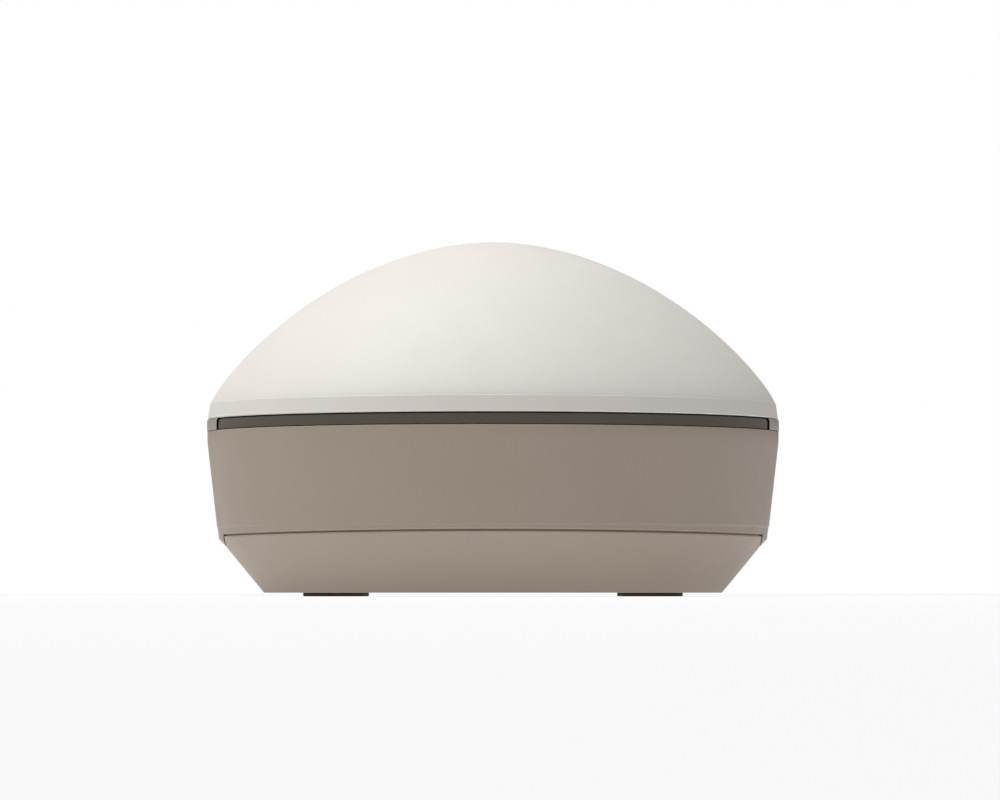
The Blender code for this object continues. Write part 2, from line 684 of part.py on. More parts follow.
def make_bottom_case():
    top = SEAM_Z + SEAM_ARCH
    slope = (WAIST_RADIUS - BASE_RADIUS) / WAIST_HEIGHT
    inner_low = BASE_RADIUS - WALL + FLOOR * slope
    case = turned(
        "bottom_case",
        [
            (0.0, BASE_Z + FLOOR), (inner_low, BASE_Z + FLOOR), (WAIST_RADIUS - WALL, WAIST_Z),
            (WAIST_RADIUS - WALL, top + LEAF), (WAIST_RADIUS, top + LEAF), (WAIST_RADIUS, WAIST_Z),
            (BASE_RADIUS, BASE_Z), (0.0, BASE_Z),
        ],
        TAUPE,
    )
    keep(case, below_seam("under_seam", 2 * GAP, GAP))
    post = SCREW_RADIUS + POST_WALL
    for i, degrees in enumerate(CASE_SCREW_ANGLES):
        frame = Matrix.Rotation(math.radians(degrees), 4, "Z")
        at = (CASE_SCREW_RING, 0.0)
        head_z = BASE_Z + SCREW_HEAD_HEIGHT + GAP
        join(case, rod(f"post_{i}", post, BASE_Z + LEAF, BASE_Z + CASE_POST_HEIGHT, None, frame, at, True))
        cut(case, rod(f"post_bore_{i}", SCREW_RADIUS + GAP, 0.0, THROUGH, None, frame, at, True))
        cut(case, rod(
            f"post_sink_{i}", SCREW_HEAD_RADIUS + GAP, 0.0, head_z + GAP, None, frame, at, True
        ))
        make_screw(
            f"case_screw_{i + 1}",
            frame @ Matrix.Translation((CASE_SCREW_RING, 0.0, head_z)),
            SCREW_RADIUS, SCREW_HEAD_RADIUS, SCREW_HEAD_HEIGHT, CASE_SCREW_LENGTH,
        )
    socket_radius = INSERT_RADIUS + GAP
    join(case, rod(
        "insert_boss", socket_radius + POST_WALL, BASE_Z + LEAF, INSERT_TOP_Z - LEAF, None, None,
        (0, 0), True,
        MIDDLE_SEGMENTS,
    ))
    join(case, ring(
        "insert_collar", socket_radius + LEAF, INSERT_FLANGE + POST_WALL, BASE_Z + FLOOR - LEAF / 2,
        BASE_Z + FLOOR + LEAF, cutter=True, steps=MIDDLE_SEGMENTS,
    ))
    cut(case, rod("insert_bore", socket_radius, 0.0, THROUGH, cutter=True, sides=MIDDLE_SEGMENTS))
    cut(case, rod(
        "insert_seat", INSERT_FLANGE + GAP, 0.0, INSERT_Z + INSERT_FLANGE_THICKNESS + GAP,
        cutter=True, sides=MIDDLE_SEGMENTS,
    ))
    for name, x, y in foot_places():
        cut(case, rod(
            f"{name}_seat", FOOT_RADIUS + GAP, 0.0, BASE_Z + FOOT_SINK + GAP, at=(x, y), cutter=True,
            sides=MIDDLE_SEGMENTS,
        ))
        rod(name, FOOT_RADIUS, 0.0, BASE_Z + FOOT_SINK, RUBBER, at=(x, y), sides=MIDDLE_SEGMENTS)
    cut(case, rod("vent_hole", VENT_RADIUS + GAP, 0.0, THROUGH, at=(0.0, VENT_Y), cutter=True))
    turned(
        "vent_plug",
        [(0.0, BASE_Z + FLOOR), (VENT_RADIUS, BASE_Z + FLOOR), (VENT_RADIUS, BASE_Z + GAP),
         (VENT_RADIUS - LEAF, BASE_Z + GAP), (VENT_RADIUS - LEAF, BASE_Z + LEAF), (0.0, BASE_Z + LEAF)],
        BLACK, Matrix.Translation((0.0, VENT_Y, 0.0)), steps=SMALL_SEGMENTS,
    )
    return case


def foot_places():
    for row, y in (("front", -FOOT_Y), ("back", FOOT_Y)):
        for side, x in (("left", -FOOT_X), ("right", FOOT_X)):
            yield f"foot_{row}_{side}", x, y


def make_insert():
    """The threaded brass insert for the pole, flush with the underside."""
    turned(
        "pole_insert",
        [
            (0.0, INSERT_TOP_Z), (INSERT_RADIUS, INSERT_TOP_Z),
            (INSERT_RADIUS, INSERT_Z + INSERT_FLANGE_THICKNESS),
            (INSERT_FLANGE, INSERT_Z + INSERT_FLANGE_THICKNESS), (INSERT_FLANGE, INSERT_Z),
            (THREAD_RADIUS, INSERT_Z), (THREAD_RADIUS, INSERT_Z + THREAD_DEPTH),
            (0.0, INSERT_Z + THREAD_DEPTH),
        ],
        BRASS, steps=MIDDLE_SEGMENTS,
    )


# --- Boards and antenna ----------------------------------------------------------------------

def make_boards():
    board = rod("main_board", BOARD_RADIUS, BOARD_Z, BOARD_TOP_Z, BOARD, sides=SEGMENTS)
    for i, degrees in enumerate(BOARD_SCREW_ANGLES):
        frame = Matrix.Rotation(math.radians(degrees), 4, "Z")
        cut(board, rod(
            f"board_hole_{i}", BOARD_SCREW_RADIUS + GAP, 0.0, FAR, None, frame, (BOARD_SCREW_RING, 0.0), True
        ))
        head = frame @ Matrix.Translation((BOARD_SCREW_RING, 0.0, BOARD_TOP_Z + GAP))
        upside_down = head @ Matrix.Rotation(math.pi, 4, "X")
        make_screw(
            f"board_screw_{i + 1}", upside_down, BOARD_SCREW_RADIUS, BOARD_SCREW_HEAD, LEAF,
            BOARD_SCREW_LENGTH
        )
    low = BOARD_TOP_Z + GAP
    for name, place, look, edge in (
        ("receiver_shield", RECEIVER_SHIELD, ALUMINIUM, LEAF),
        ("radio_shield", RADIO_SHIELD, ALUMINIUM, LEAF),
        ("sim_holder", SIM_HOLDER, STEEL, LEAF / 2),
    ):
        near, far, height = place
        box(name, (*near, low), (*far, low + height), look, bevel=edge)


def make_antenna():
    low = BOARD_TOP_Z + GAP
    for i, degrees in enumerate(POST_ANGLES):
        rod(f"antenna_post_{i + 1}", POST_RADIUS, low, low + POST_HEIGHT, BRASS,
            at=around(POST_RING, degrees), sides=6)
    ground = rod("antenna_ground_plane", GROUND_RADIUS, GROUND_Z, GROUND_Z + GROUND_THICKNESS, ALUMINIUM,
                 sides=SEGMENTS)
    hub_bore = HUB_RADIUS / 2
    cut(ground, rod("ground_hole", hub_bore + GAP, 0.0, FAR, cutter=True))
    for name, radius, z in (
        ("antenna_patch_lower", LOWER_PATCH_RADIUS, LOWER_PATCH_Z),
        ("antenna_patch_upper", UPPER_PATCH_RADIUS, UPPER_PATCH_Z),
    ):
        patch = rod(name, radius, z, z + PATCH_THICKNESS, CERAMIC, sides=SEGMENTS // 2)
        cut(patch, rod(f"{name}_hole", hub_bore + GAP, 0.0, FAR, cutter=True))
    for name, z, floor in (
        ("antenna_spacer_lower", LOWER_PATCH_Z, GROUND_Z + GROUND_THICKNESS),
        ("antenna_spacer_upper", UPPER_PATCH_Z, LOWER_PATCH_Z + PATCH_THICKNESS),
    ):
        ring(name, hub_bore + GAP, HUB_RADIUS, floor + GAP, z - GAP, BLACK, steps=SMALL_SEGMENTS)
    turned(
        "antenna_bolt",
        [(0.0, UPPER_PATCH_Z + PATCH_THICKNESS + GAP + LEAF * 2),
         (HUB_RADIUS, UPPER_PATCH_Z + PATCH_THICKNESS + GAP + LEAF * 2),
         (HUB_RADIUS, UPPER_PATCH_Z + PATCH_THICKNESS + GAP),
         (hub_bore, UPPER_PATCH_Z + PATCH_THICKNESS + GAP), (hub_bore, GROUND_Z - LEAF),
         (0.0, GROUND_Z - LEAF)],
        BRASS, steps=SMALL_SEGMENTS,
    )


# --- Battery, bay and door -------------------------------------------------------------------

def make_battery():
    half = BATTERY_WIDTH / 2
    tall = BATTERY_HEIGHT / 2
    front = BATTERY_BACK - BATTERY_LENGTH
    lying = Matrix.Translation((0, 0, BAY_MID_Z)) @ Matrix.Rotation(math.radians(90), 4, "X")
    box("battery_pack", (-half, -tall, -BATTERY_BACK), (half, tall, -front), CELL, lying, bevel=BATTERY_EDGE)
    inner_half, inner_tall = half + SLIP, tall + SLIP
    end = front - BAY_END_SPACE
    bay = box(
        "battery_bay", (-inner_half - BAY_WALL, end - BAY_WALL, BAY_MID_Z - inner_tall - BAY_WALL),
        (inner_half + BAY_WALL, OUTER_RADIUS, BAY_MID_Z + inner_tall + BAY_WALL), BLACK,
    )
    low = DOOR_LOW_Z - DOOR_LAP + GAP
    high = SHELF_Z - GAP
    keep(bay, ring_inside_wall("bay_limit", low, high))
    flange = wall_shell("bay_flange", -WALL - GAP, BAY_FLANGE, low, high, cutter=True)
    centre, half_doorway = doorway()
    lap = math.degrees(DOOR_LAP / wall_radius(DOOR_MID_Z))
    keep(flange, sector("bay_flange_sector", centre, half_doorway + lap, 0.0, FAR))
    join(bay, flange)
    cut(bay, box(
        "bay_room", (-inner_half, end, BAY_MID_Z - inner_tall), (inner_half, FAR, BAY_MID_Z + inner_tall),
        cutter=True,
    ))
    contact_front = end + GAP
    contacts = box(
        "battery_contacts", (-CONTACT_WIDTH / 2, contact_front, BAY_MID_Z - CONTACT_HEIGHT / 2),
        (CONTACT_WIDTH / 2, contact_front + CONTACT_DEPTH, BAY_MID_Z + CONTACT_HEIGHT / 2), BLACK,
    )
    for i in range(BLADE_COUNT):
        x = (i - (BLADE_COUNT - 1) / 2) * BLADE_PITCH
        join(contacts, box(
            f"contact_blade_{i}", (x - BLADE_WIDTH / 2, contact_front + LEAF, BAY_MID_Z - BLADE_HEIGHT / 2),
            (x + BLADE_WIDTH / 2, contact_front + BAY_END_SPACE - 2 * GAP, BAY_MID_Z + BLADE_HEIGHT / 2),
            cutter=True,
        ))


def ring_inside_wall(name, low, high):
    """A solid that fills the housing up to the inside of its wall."""
    outset = -WALL - GAP
    return turned(
        name,
        [(0.0, high), (wall_radius(high) + outset, high), (wall_radius(low) + outset, low), (0.0, low)],
        None, None, True,
    )


def make_door():
    door = wall_shell("battery_door", 0.0, DOOR_WALL, DOOR_LOW_Z, DOOR_HIGH_Z, TAUPE)
    keep(door, sector("door_sector", 90.0, DOOR_HALF_ANGLE, 0.0, FAR))
    add_knuckle(door, "middle", 1.0)
    inside = wall_radius(DOOR_MID_Z) - DOOR_WALL
    join(door, box(
        "door_rib", (-DOOR_RIB_WIDTH / 2, BATTERY_BACK + 2 * GAP, DOOR_MID_Z - DOOR_RIB_HEIGHT / 2),
        (DOOR_RIB_WIDTH / 2, inside + DOOR_WALL / 4, DOOR_MID_Z + DOOR_RIB_HEIGHT / 2), cutter=True,
    ))
    grip_angle = -DOOR_HALF_ANGLE + math.degrees(GRIP_SETBACK / OUTER_RADIUS)
    frame = wall_frame(grip_angle, DOOR_MID_Z)
    join(door, box(
        "door_grip", (-GRIP_WIDTH / 2, -GRIP_LENGTH / 2, -DOOR_WALL / 2),
        (GRIP_WIDTH / 2, GRIP_LENGTH / 2, GRIP_HEIGHT), None, frame, True,
    ))
    spans = knuckle_spans()
    rod("door_pin", HINGE_PIN_RADIUS, spans["low"][0], spans["high"][1], STEEL, along_y(door_hinge_frame()),
        sides=SCREW_SEGMENTS)


# --- Buttons and sockets ---------------------------------------------------------------------

def make_buttons():
    frame = wall_frame(BUTTON_ANGLE, CONTROL_Z)
    flange_top = -WALL
    flange_low = flange_top - LEAF / 2
    stem_end = -PAD_DEPTH
    for name, x in (("power_button", -BUTTON_SPACING / 2), ("function_button", BUTTON_SPACING / 2)):
        turned(
            name,
            [
                (0.0, BUTTON_PROUD), (BUTTON_RADIUS - BUTTON_EDGE, BUTTON_PROUD - BUTTON_EDGE / 2),
                (BUTTON_RADIUS, BUTTON_PROUD - BUTTON_EDGE), (BUTTON_RADIUS, flange_top),
                (BUTTON_FLANGE, flange_top),
                (BUTTON_FLANGE, flange_low), (BUTTON_STEM_RADIUS, flange_low), (BUTTON_STEM_RADIUS, stem_end),
                (0.0, stem_end),
            ],
            GREY, frame @ Matrix.Translation((x, 0.0, 0.0)), steps=FINE_SEGMENTS,
        )
    board_top = stem_end - BUTTON_TRAVEL - 2 * GAP - LEAF
    half = BUTTON_SPACING
    board = box(
        "button_board", (-half, -BUTTON_FLANGE, board_top - LEAF),
        (half, BUTTON_FLANGE, board_top), BOARD, frame
    )
    for i, x in enumerate((-BUTTON_SPACING / 2, BUTTON_SPACING / 2)):
        join(board, rod(
            f"switch_{i}", 2 * BUTTON_STEM_RADIUS, board_top - LEAF / 2, board_top + LEAF, None,
            frame, (x, 0.0),
            True, SCREW_SEGMENTS,
        ))


def flap_sizes():
    """Name, place round the wall, half width and half height of each rubber flap."""
    return (
        ("usb", USB_ANGLE, USB_WIDTH / 2 + USB_FLAP_SIDE, USB_HEIGHT / 2 + USB_FLAP_TOP),
        ("data", DATA_ANGLE, DATA_RADIUS + DATA_FLAP_EDGE, DATA_RADIUS + DATA_FLAP_EDGE),
    )


def flap_axis(half_height):
    """Where a flap turns, in its wall frame: along X, at this Y and Z."""
    return -half_height - FLAP_BARREL + GAP, -FLAP_BARREL + FLAP_PROUD


def make_flaps():
    for name, degrees, half_width, half_height in flap_sizes():
        frame = wall_frame(degrees, CONTROL_Z)
        axis_y, axis_z = flap_axis(half_height)
        flap = box(
            f"{name}_flap", (-half_width, axis_y, FLAP_PROUD - FLAP_WALL),
            (half_width, half_height, FLAP_PROUD),
            RUBBER, frame,
        )
        along_x = frame @ Matrix.Translation((0, axis_y, axis_z)) @ Matrix.Rotation(math.radians(90), 4, "Y")
        join(flap, rod(
            f"{name}_flap_barrel", FLAP_BARREL, -half_width, half_width, None, along_x, cutter=True
        ))
        join(flap, box(
            f"{name}_flap_tab", (-LEAF, half_height - LEAF, 0.0), (LEAF, half_height, 2 * FLAP_PROUD + GAP),
            None, frame, True,
        ))
        front = -FLAP_WALL - 2 * GAP
        if name == "usb":
            outer = (USB_WIDTH / 2 + SLIP, USB_HEIGHT / 2 + SLIP)
            inner = (USB_WIDTH / 2 - SLIP, USB_HEIGHT / 2 - SLIP)
            socket = box(
                "usb_socket", (-outer[0], -outer[1], front - SOCKET_DEPTH),
                (outer[0], outer[1], front), STEEL,
                frame,
            )
            cut(socket, box(
                "usb_mouth", (-inner[0], -inner[1], front - SOCKET_DEPTH + LEAF), (inner[0], inner[1], 0.0),
                None, frame, True,
            ))
        else:
            turned(
                "data_socket",
                [
                    (0.0, front - 2 * LEAF), (DATA_RADIUS - LEAF, front - 2 * LEAF),
                    (DATA_RADIUS - LEAF, front), (DATA_RADIUS, front), (DATA_RADIUS, front - SOCKET_DEPTH),
                    (0.0, front - SOCKET_DEPTH),
                ],
                ALUMINIUM, frame, steps=FINE_SEGMENTS,
            )


def make_coax():
    """The threaded socket for a radio antenna, with its centre pin standing in the bore."""
    frame = wall_frame(ANTENNA_ANGLE, CONTROL_Z)
    back = -SOCKET_DEPTH
    turned(
        "radio_antenna_socket",
        [
            (0.0, COAX_LENGTH / 2), (FEED_RADIUS, COAX_LENGTH / 2), (FEED_RADIUS, LEAF), (COAX_BORE, LEAF),
            (COAX_BORE, COAX_LENGTH), (COAX_RADIUS, COAX_LENGTH), (COAX_RADIUS, back), (0.0, back),
        ],
        BRASS, frame, steps=FINE_SEGMENTS,
    )


make_radome()
make_gasket()
make_trim()
make_housing()
make_bottom_case()
make_insert()
make_boards()
make_antenna()
make_battery()
make_door()
make_buttons()
make_flaps()
make_coax()
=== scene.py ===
"""The finished surfaces of a GNSS receiver, laid out as a Blender add-on and run as a script.

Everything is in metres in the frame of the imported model: +Z up, the plain front towards -Y, and the
battery door, buttons and sockets in the wall towards +Y.
"""

import math

import bmesh
import bpy
from bpy.props import FloatProperty, FloatVectorProperty, PointerProperty
from mathutils import Matrix, Vector


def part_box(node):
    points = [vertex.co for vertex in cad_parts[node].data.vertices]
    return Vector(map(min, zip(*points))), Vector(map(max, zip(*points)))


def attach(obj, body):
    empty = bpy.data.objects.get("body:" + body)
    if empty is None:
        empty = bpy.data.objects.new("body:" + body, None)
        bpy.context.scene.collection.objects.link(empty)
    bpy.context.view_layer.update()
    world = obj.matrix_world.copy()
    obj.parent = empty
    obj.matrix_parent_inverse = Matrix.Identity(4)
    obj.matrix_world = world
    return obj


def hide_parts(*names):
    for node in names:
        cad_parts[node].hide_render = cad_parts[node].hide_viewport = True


bl_info = {
    "name": "GNSS receiver finish",
    "version": (1, 0, 0),
    "blender": (4, 5, 0),
    "location": "3D View > Sidebar > Receiver",
    "description": "Builds the fine surfaces, finishes and studio of a surveying receiver",
    "category": "Object",
}

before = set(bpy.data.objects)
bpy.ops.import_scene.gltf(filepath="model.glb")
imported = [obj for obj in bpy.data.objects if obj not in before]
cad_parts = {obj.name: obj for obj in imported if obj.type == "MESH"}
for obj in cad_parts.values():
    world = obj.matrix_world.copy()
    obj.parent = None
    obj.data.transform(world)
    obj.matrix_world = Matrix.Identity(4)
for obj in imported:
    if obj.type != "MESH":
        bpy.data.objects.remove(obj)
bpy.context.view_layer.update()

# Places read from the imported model
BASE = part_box("bottom_case")[0].z
BOSS_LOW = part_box("radome")[0].z
RIM_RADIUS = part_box("radome")[1].x
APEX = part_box("radome")[1].z
BODY_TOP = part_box("housing")[1].z
BODY_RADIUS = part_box("housing")[1].x
CHEEK_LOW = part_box("housing")[0].z
TRIM_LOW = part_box("trim_ring")[0].z
TRIM_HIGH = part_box("trim_ring")[1].z
WINDOW_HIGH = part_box("light_window_front")[1].z
CASE_HALF_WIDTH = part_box("bottom_case")[1].x
DOOR_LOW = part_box("battery_door")[0].z
DOOR_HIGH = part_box("battery_door")[1].z
DOOR_MIDDLE = (DOOR_LOW + DOOR_HIGH) / 2
INSERT_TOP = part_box("pole_insert")[1].z
FEET = ("foot_front_left", "foot_front_right", "foot_back_left", "foot_back_right")

# The gap between pieces, and the height of the radome's lower edge above the trim ring
GAP = 0.0003
RIM = TRIM_HIGH + GAP / 2

# Roundings of edges, from the finest to the softest
HAIR, FINE, SOFT, FULL = 0.0001, 0.0002, 0.0003, 0.0004

ROUND_STEPS = 192  # steps in a turn of a big shell
SMALL_STEPS = 64  # steps in a turn of a small piece
THREAD_STEPS = 48  # steps in a turn of a thread
SEAM_STEPS = 48  # slices along the arched seam
BEND_STEP = 2.0  # degrees between the slices of a bent panel
SHARP_ANGLE = 32.0  # degrees past which an edge is drawn sharp
WELD = 0.000002  # distance within which points are one
FAR = 0.2000  # reaches past the whole receiver
NOISE_RANGE = (0.30, 0.70)  # where most of a noise's values lie
WHITE = (1.0, 1.0, 1.0, 1.0)


def length(name, default, description):
    """A size property in metres."""
    return FloatProperty(
        name=name, description=description, default=default, min=0.0, unit="LENGTH", precision=5
    )


def turn(name, default, description):
    """An angle property, kept in radians."""
    return FloatProperty(
        name=name, description=description, default=math.radians(default), subtype="ANGLE"
    )


def share(name, default, description):
    """A plain factor."""
    return FloatProperty(name=name, description=description, default=default, min=0.0)


def tint(name, default, description):
    """A linear colour property."""
    return FloatVectorProperty(
        name=name, description=description, default=default, size=3, min=0.0, max=1.0, subtype="COLOR"
    )


class GnssShellSizes(bpy.types.PropertyGroup):
    """Sizes of the radome, the housing and the lower case; heights are above the flat underside."""

    dome_radius: length("Dome radius", 0.0790, "Radius of the dome where it meets the rim")
    crease: length("Crease height", 0.0527, "Height of the crease between dome and rim")
    dome_sharpness: share("Dome sharpness", 1.92, "Power of the dome's outline; 2 is an ellipse")
    dome_fullness: share("Dome fullness", 0.83, "How full the dome is; 0.5 is an ellipse")
    rim_foot: length("Rim foot radius", 0.0797, "Radius of the rim at its lower edge")
    bead: length("Rim bead", 0.00055, "Height of the bead along the rim's lower edge")
    boss: length("Screw boss radius", 0.0026, "Radius of the bosses for the radome's screws")
    boss_height: length("Screw boss height", 0.0125, "Height of those bosses")
    radome_wall: length("Radome wall", 0.0024, "Thickness of the radome")
    wall: length("Case wall", 0.0025, "Thickness of the housing and the lower case")
    top_edge: length("Top edge", 0.00015, "Rounding of the housing's upper edge")
    knee: length("Knee height", 0.0421, "Height above which the wall stands upright")
    knee_bend: length("Knee bend", 0.0300, "Radius of the wall's bend at that height")
    ledge_high: length("Ledge top", 0.0186, "Height at which the wall steps in")
    ledge_low: length("Ledge foot", 0.0180, "Height at which the step ends")
    ledge_radius: length("Ledge radius", 0.07719, "Outer radius at the top of the ledge")
    ledge_step: length("Ledge step", 0.0002, "How far the wall steps in")
    waist: length("Waist height", 0.0149, "Height at which the lower case turns inwards")
    waist_radius: length("Waist radius", 0.0766, "Outer radius at the waist")
    base_radius: length("Base radius", 0.0640, "Radius of the flat underside")
    base_edge: length("Base edge", 0.0005, "Rounding round the underside")
    seam_rise: length("Seam rise", 0.0012, "Height of the seam's ends above the waist")
    seam_arch: length("Seam arch", 0.0009, "How much the seam rises to its middle")
    seam_lip: length("Seam lip", 0.0003, "Chamfer along the seam")
    seam_gap: length("Seam gap", 0.00045, "Width of the open seam")
    seam_strip: length("Seam strip", 0.0004, "Height of the lower case's edge under the seam")
    tongue_depth: length("Tongue depth", 0.0008, "How far the tongue stands back in the seam")
    tongue: length("Tongue", 0.0008, "Thickness of the lower case's tongue")
    cheek: length("Cheek line", 0.0746, "Half width between the two seam ends")
    shelf_radius: length("Shelf radius", 0.0620, "Inner radius of the shelf under the main board")
    shelf: length("Shelf thickness", 0.0020, "Thickness of that shelf")


class GnssTrimSizes(bpy.types.PropertyGroup):
    """Sizes of the trim ring and its light windows."""

    edge: length("Ring edge", 0.00025, "Rounding of the ring's upper edge")
    foot: length("Ring foot", 0.00012, "Rounding of the ring's lower edge")
    slot_half: length("Slot half width", 0.0763, "Half the width of the slot for each light window")
    slot_depth: length("Slot depth", 0.0036, "Depth of the slot behind the windows")
    web: length("Web", 0.0024, "Thickness of the ring behind the slot")
    corner: length("Slot corner", 0.0010, "Radius of the slot's upper corners")
    inset: length("Window inset", 0.0003, "How far the window stands back")
    end_gap: length("Window end gap", 0.00056, "Gap at each end of a window")
    window: length("Window wall", 0.0016, "Thickness of the window")
    groove: length("Groove half width", 0.0009, "Half the width of the seal's groove")


class GnssDoorSizes(bpy.types.PropertyGroup):
    """Sizes of the battery door and its hinge."""

    half_angle: turn("Door half angle", 26.0, "Half the angle that the door takes up")
    wall: length("Door wall", 0.0020, "Thickness of the door")
    corner: length("Door corner", 0.0016, "Radius of the door's free corners")
    edge: length("Door edge", 0.0004, "Rounding of the door's outer edges")
    barrel: length("Barrel radius", 0.0017, "Radius of the hinge barrels")
    bore: length("Hinge bore", 0.0010, "Radius of the bore for the pin")
    pin: length("Hinge pin", 0.0007, "Radius of the pin")
    sink: length("Hinge sink", 0.0006, "How far the hinge axis lies under the wall")
    knuckle: length("Knuckle", 0.0050, "Length of one hinge knuckle")
    leaf: length("Leaf", 0.0012, "Thickness of the hinge leaves")
    grip: length("Grip height", 0.0120, "Height of the finger ridges")
    ridge: length("Grip ridge", 0.0008, "How far the finger ridges stand out, and their width")
    ridge_margin: length("Ridge margin", 0.0034, "Distance from the free edge to the first ridge")
    ridge_pitch: length("Ridge pitch", 0.0016, "Distance between the ridges")
    rib_width: length("Rib width", 0.0240, "Width of the block that presses on the battery")
    rib_height: length("Rib height", 0.0080, "Height of that block")


class GnssControlSizes(bpy.types.PropertyGroup):
    """Sizes of the buttons and the sockets; angles are from the back towards +X."""

    height: length("Control height", 0.0330, "Height of the row of controls above the underside")
    button_angle: turn("Button angle", 64.0, "Place of the buttons round the wall")
    button_spacing: length("Button spacing", 0.0160, "Distance between the buttons")
    button_radius: length("Button radius", 0.0042, "Radius of a button")
    button_proud: length("Button height", 0.0010, "How far a button stands out")
    button_flange: length("Button flange", 0.0054, "Radius of the flange behind the wall")
    button_stem: length("Button stem", 0.0012, "Radius of the stem behind the flange")
    button_margin: length("Button margin", 0.0012, "Width of the thick wall past the buttons")
    usb_angle: turn("USB angle", 41.0, "Place of the small socket")
    data_angle: turn("Data angle", -62.0, "Place of the round socket")
    antenna_angle: turn("Antenna angle", -42.0, "Place of the radio antenna socket")
    flap_wall: length("Flap wall", 0.0015, "Thickness of the rubber flaps")
    flap_proud: length("Flap height", 0.0002, "How far a flap stands out")
    flap_barrel: length("Flap barrel", 0.0009, "Radius of a flap's hinge roll")
    usb_width: length("USB width", 0.0090, "Width of the small socket's mouth")
    usb_height: length("USB height", 0.0032, "Height of the small socket's mouth")
    usb_side: length("USB side", 0.0026, "How far its flap reaches past the mouth at each side")
    usb_over: length("USB over", 0.0034, "How far its flap reaches past the mouth above and below")
    data_radius: length("Data radius", 0.0055, "Outer radius of the round socket")
    data_over: length("Data over", 0.0014, "How far its flap reaches past the round socket")
    data_pin: length("Data pin", 0.0004, "Radius of a pin in the round socket")
    data_circle: length("Data circle", 0.0025, "Radius of the circle that its pins stand on")
    socket_depth: length("Socket depth", 0.0080, "Depth of the sockets behind the wall")
    coax_radius: length("Antenna socket radius", 0.0050, "Outer radius of the antenna socket's thread")
    coax_bore: length("Antenna socket bore", 0.0034, "Bore of the antenna socket")
    coax_length: length("Antenna socket length", 0.0085, "How far the antenna socket stands out")
    coax_thread: length("Antenna thread depth", 0.0004, "Depth of its thread")
    coax_pitch: length("Antenna thread pitch", 0.00079, "Rise of its thread in one turn")
    coax_turns: share("Antenna thread turns", 7.5, "Number of turns of its thread")
    coax_pin: length("Antenna pin", 0.0010, "Radius of its centre pin")
    pad_depth: length("Pad depth", 0.0050, "Depth of the thick places behind the wall")


class GnssUnderSizes(bpy.types.PropertyGroup):
    """Sizes of the pieces in the underside."""

    foot_edge: length("Foot edge", 0.0003, "Rounding of a foot")
    thread_minor: length("Thread minor radius", 0.0068, "Radius to the crests of the pole thread")
    thread_major: length("Thread major radius", 0.0079, "Radius to the roots of the pole thread")
    thread_pitch: length("Thread pitch", 0.00231, "Rise of the thread in one turn, eleven to the inch")
    thread_depth: length("Thread depth", 0.0150, "Depth of the threaded bore")
    insert_radius: length("Insert radius", 0.0100, "Outer radius of the insert's barrel")
    insert_flange: length("Insert flange", 0.0150, "Radius of the insert's flange")
    insert_wall: length("Insert seat", 0.0030, "Width of the raised rings round the insert's seat")
    insert_step: length("Insert step", 0.0012, "Height of the lower ring, and drop below the insert")
    flange_wall: length("Flange thickness", 0.0020, "Thickness of the insert's flange")
    floor: length("Floor", 0.0025, "Thickness of the lower case's floor")
    screw_head: length("Screw head", 0.0028, "Radius of a case screw's head")
    screw_height: length("Screw head height", 0.0018, "Height of a case screw's head")
    screw_shank: length("Screw shank", 0.0015, "Radius of a case screw")
    screw_bore: length("Screw bore", 0.0145, "Depth of the bore for a case screw")
    vent: length("Vent radius", 0.0040, "Radius of the vent plug")
    vent_dish: length("Vent dish", 0.0008, "Depth of the dish in the vent plug")
    vent_hole: length("Vent hole", 0.0003, "Radius of a hole in the vent plug")


class GnssColours(bpy.types.PropertyGroup):
    """Colours of the outer finishes."""

    radome: tint("Radome", (0.800, 0.764, 0.716), "Warm white moulded plastic")
    case: tint("Case", (0.415, 0.338, 0.276), "Warm grey moulded plastic")
    trim: tint("Trim", (0.385, 0.355, 0.315), "Grey trim ring and buttons")
    window: tint("Window", (0.098, 0.083, 0.060), "Smoked light window")
    rubber: tint("Rubber", (0.030, 0.026, 0.023), "Feet, flaps and seal")
    floor: tint("Floor", (0.400, 0.400, 0.400), "Studio floor, which also glows like a light table")


class GnssStudio(bpy.types.PropertyGroup):
    """Camera and lights."""

    distance: length("Camera distance", 1.6016, "Distance from the camera to the receiver's axis")
    camera_height: length("Camera height", 0.0010, "Height of the camera above the floor")
    lens: FloatProperty(
        name="Lens", description="Focal length in millimetres", default=205.92, unit="CAMERA"
    )
    tilt: turn("Camera tilt", 1.93, "How far the camera looks up")
    pan: turn("Camera pan", 0.07, "How far the camera looks to the side of the axis")
    world: share("World light", 0.16, "Strength of the even light all round")
    backdrop: share("Backdrop", 1.0, "Brightness of the plain background behind the receiver")
    glow: share("Floor light", 0.55, "Strength of the light table that the receiver stands on")
    key: share("Key light", 240.0, "Power of the large lamp overhead at the left, in watts")
    key_size: length("Key size", 4.0, "Width of that lamp")
    key_place: FloatVectorProperty(
        name="Key place", description="Where that lamp hangs", default=(-1.2, 0.10, 4.3), size=3,
        subtype="TRANSLATION",
    )
    key_aim: length("Key aim", 0.05, "Height of the point on the axis that it faces")
    floor_half: length("Floor half width", 3.0, "Half the width of the floor")


GROUPS = {
    "gnss_shell": GnssShellSizes,
    "gnss_trim": GnssTrimSizes,
    "gnss_door": GnssDoorSizes,
    "gnss_control": GnssControlSizes,
    "gnss_under": GnssUnderSizes,
    "gnss_colours": GnssColours,
    "gnss_studio": GnssStudio,
}


def settings(group):
    """One of the scene's property groups."""
    return getattr(bpy.context.scene, f"gnss_{group}")


# --- Outlines and places ---------------------------------------------------------------------


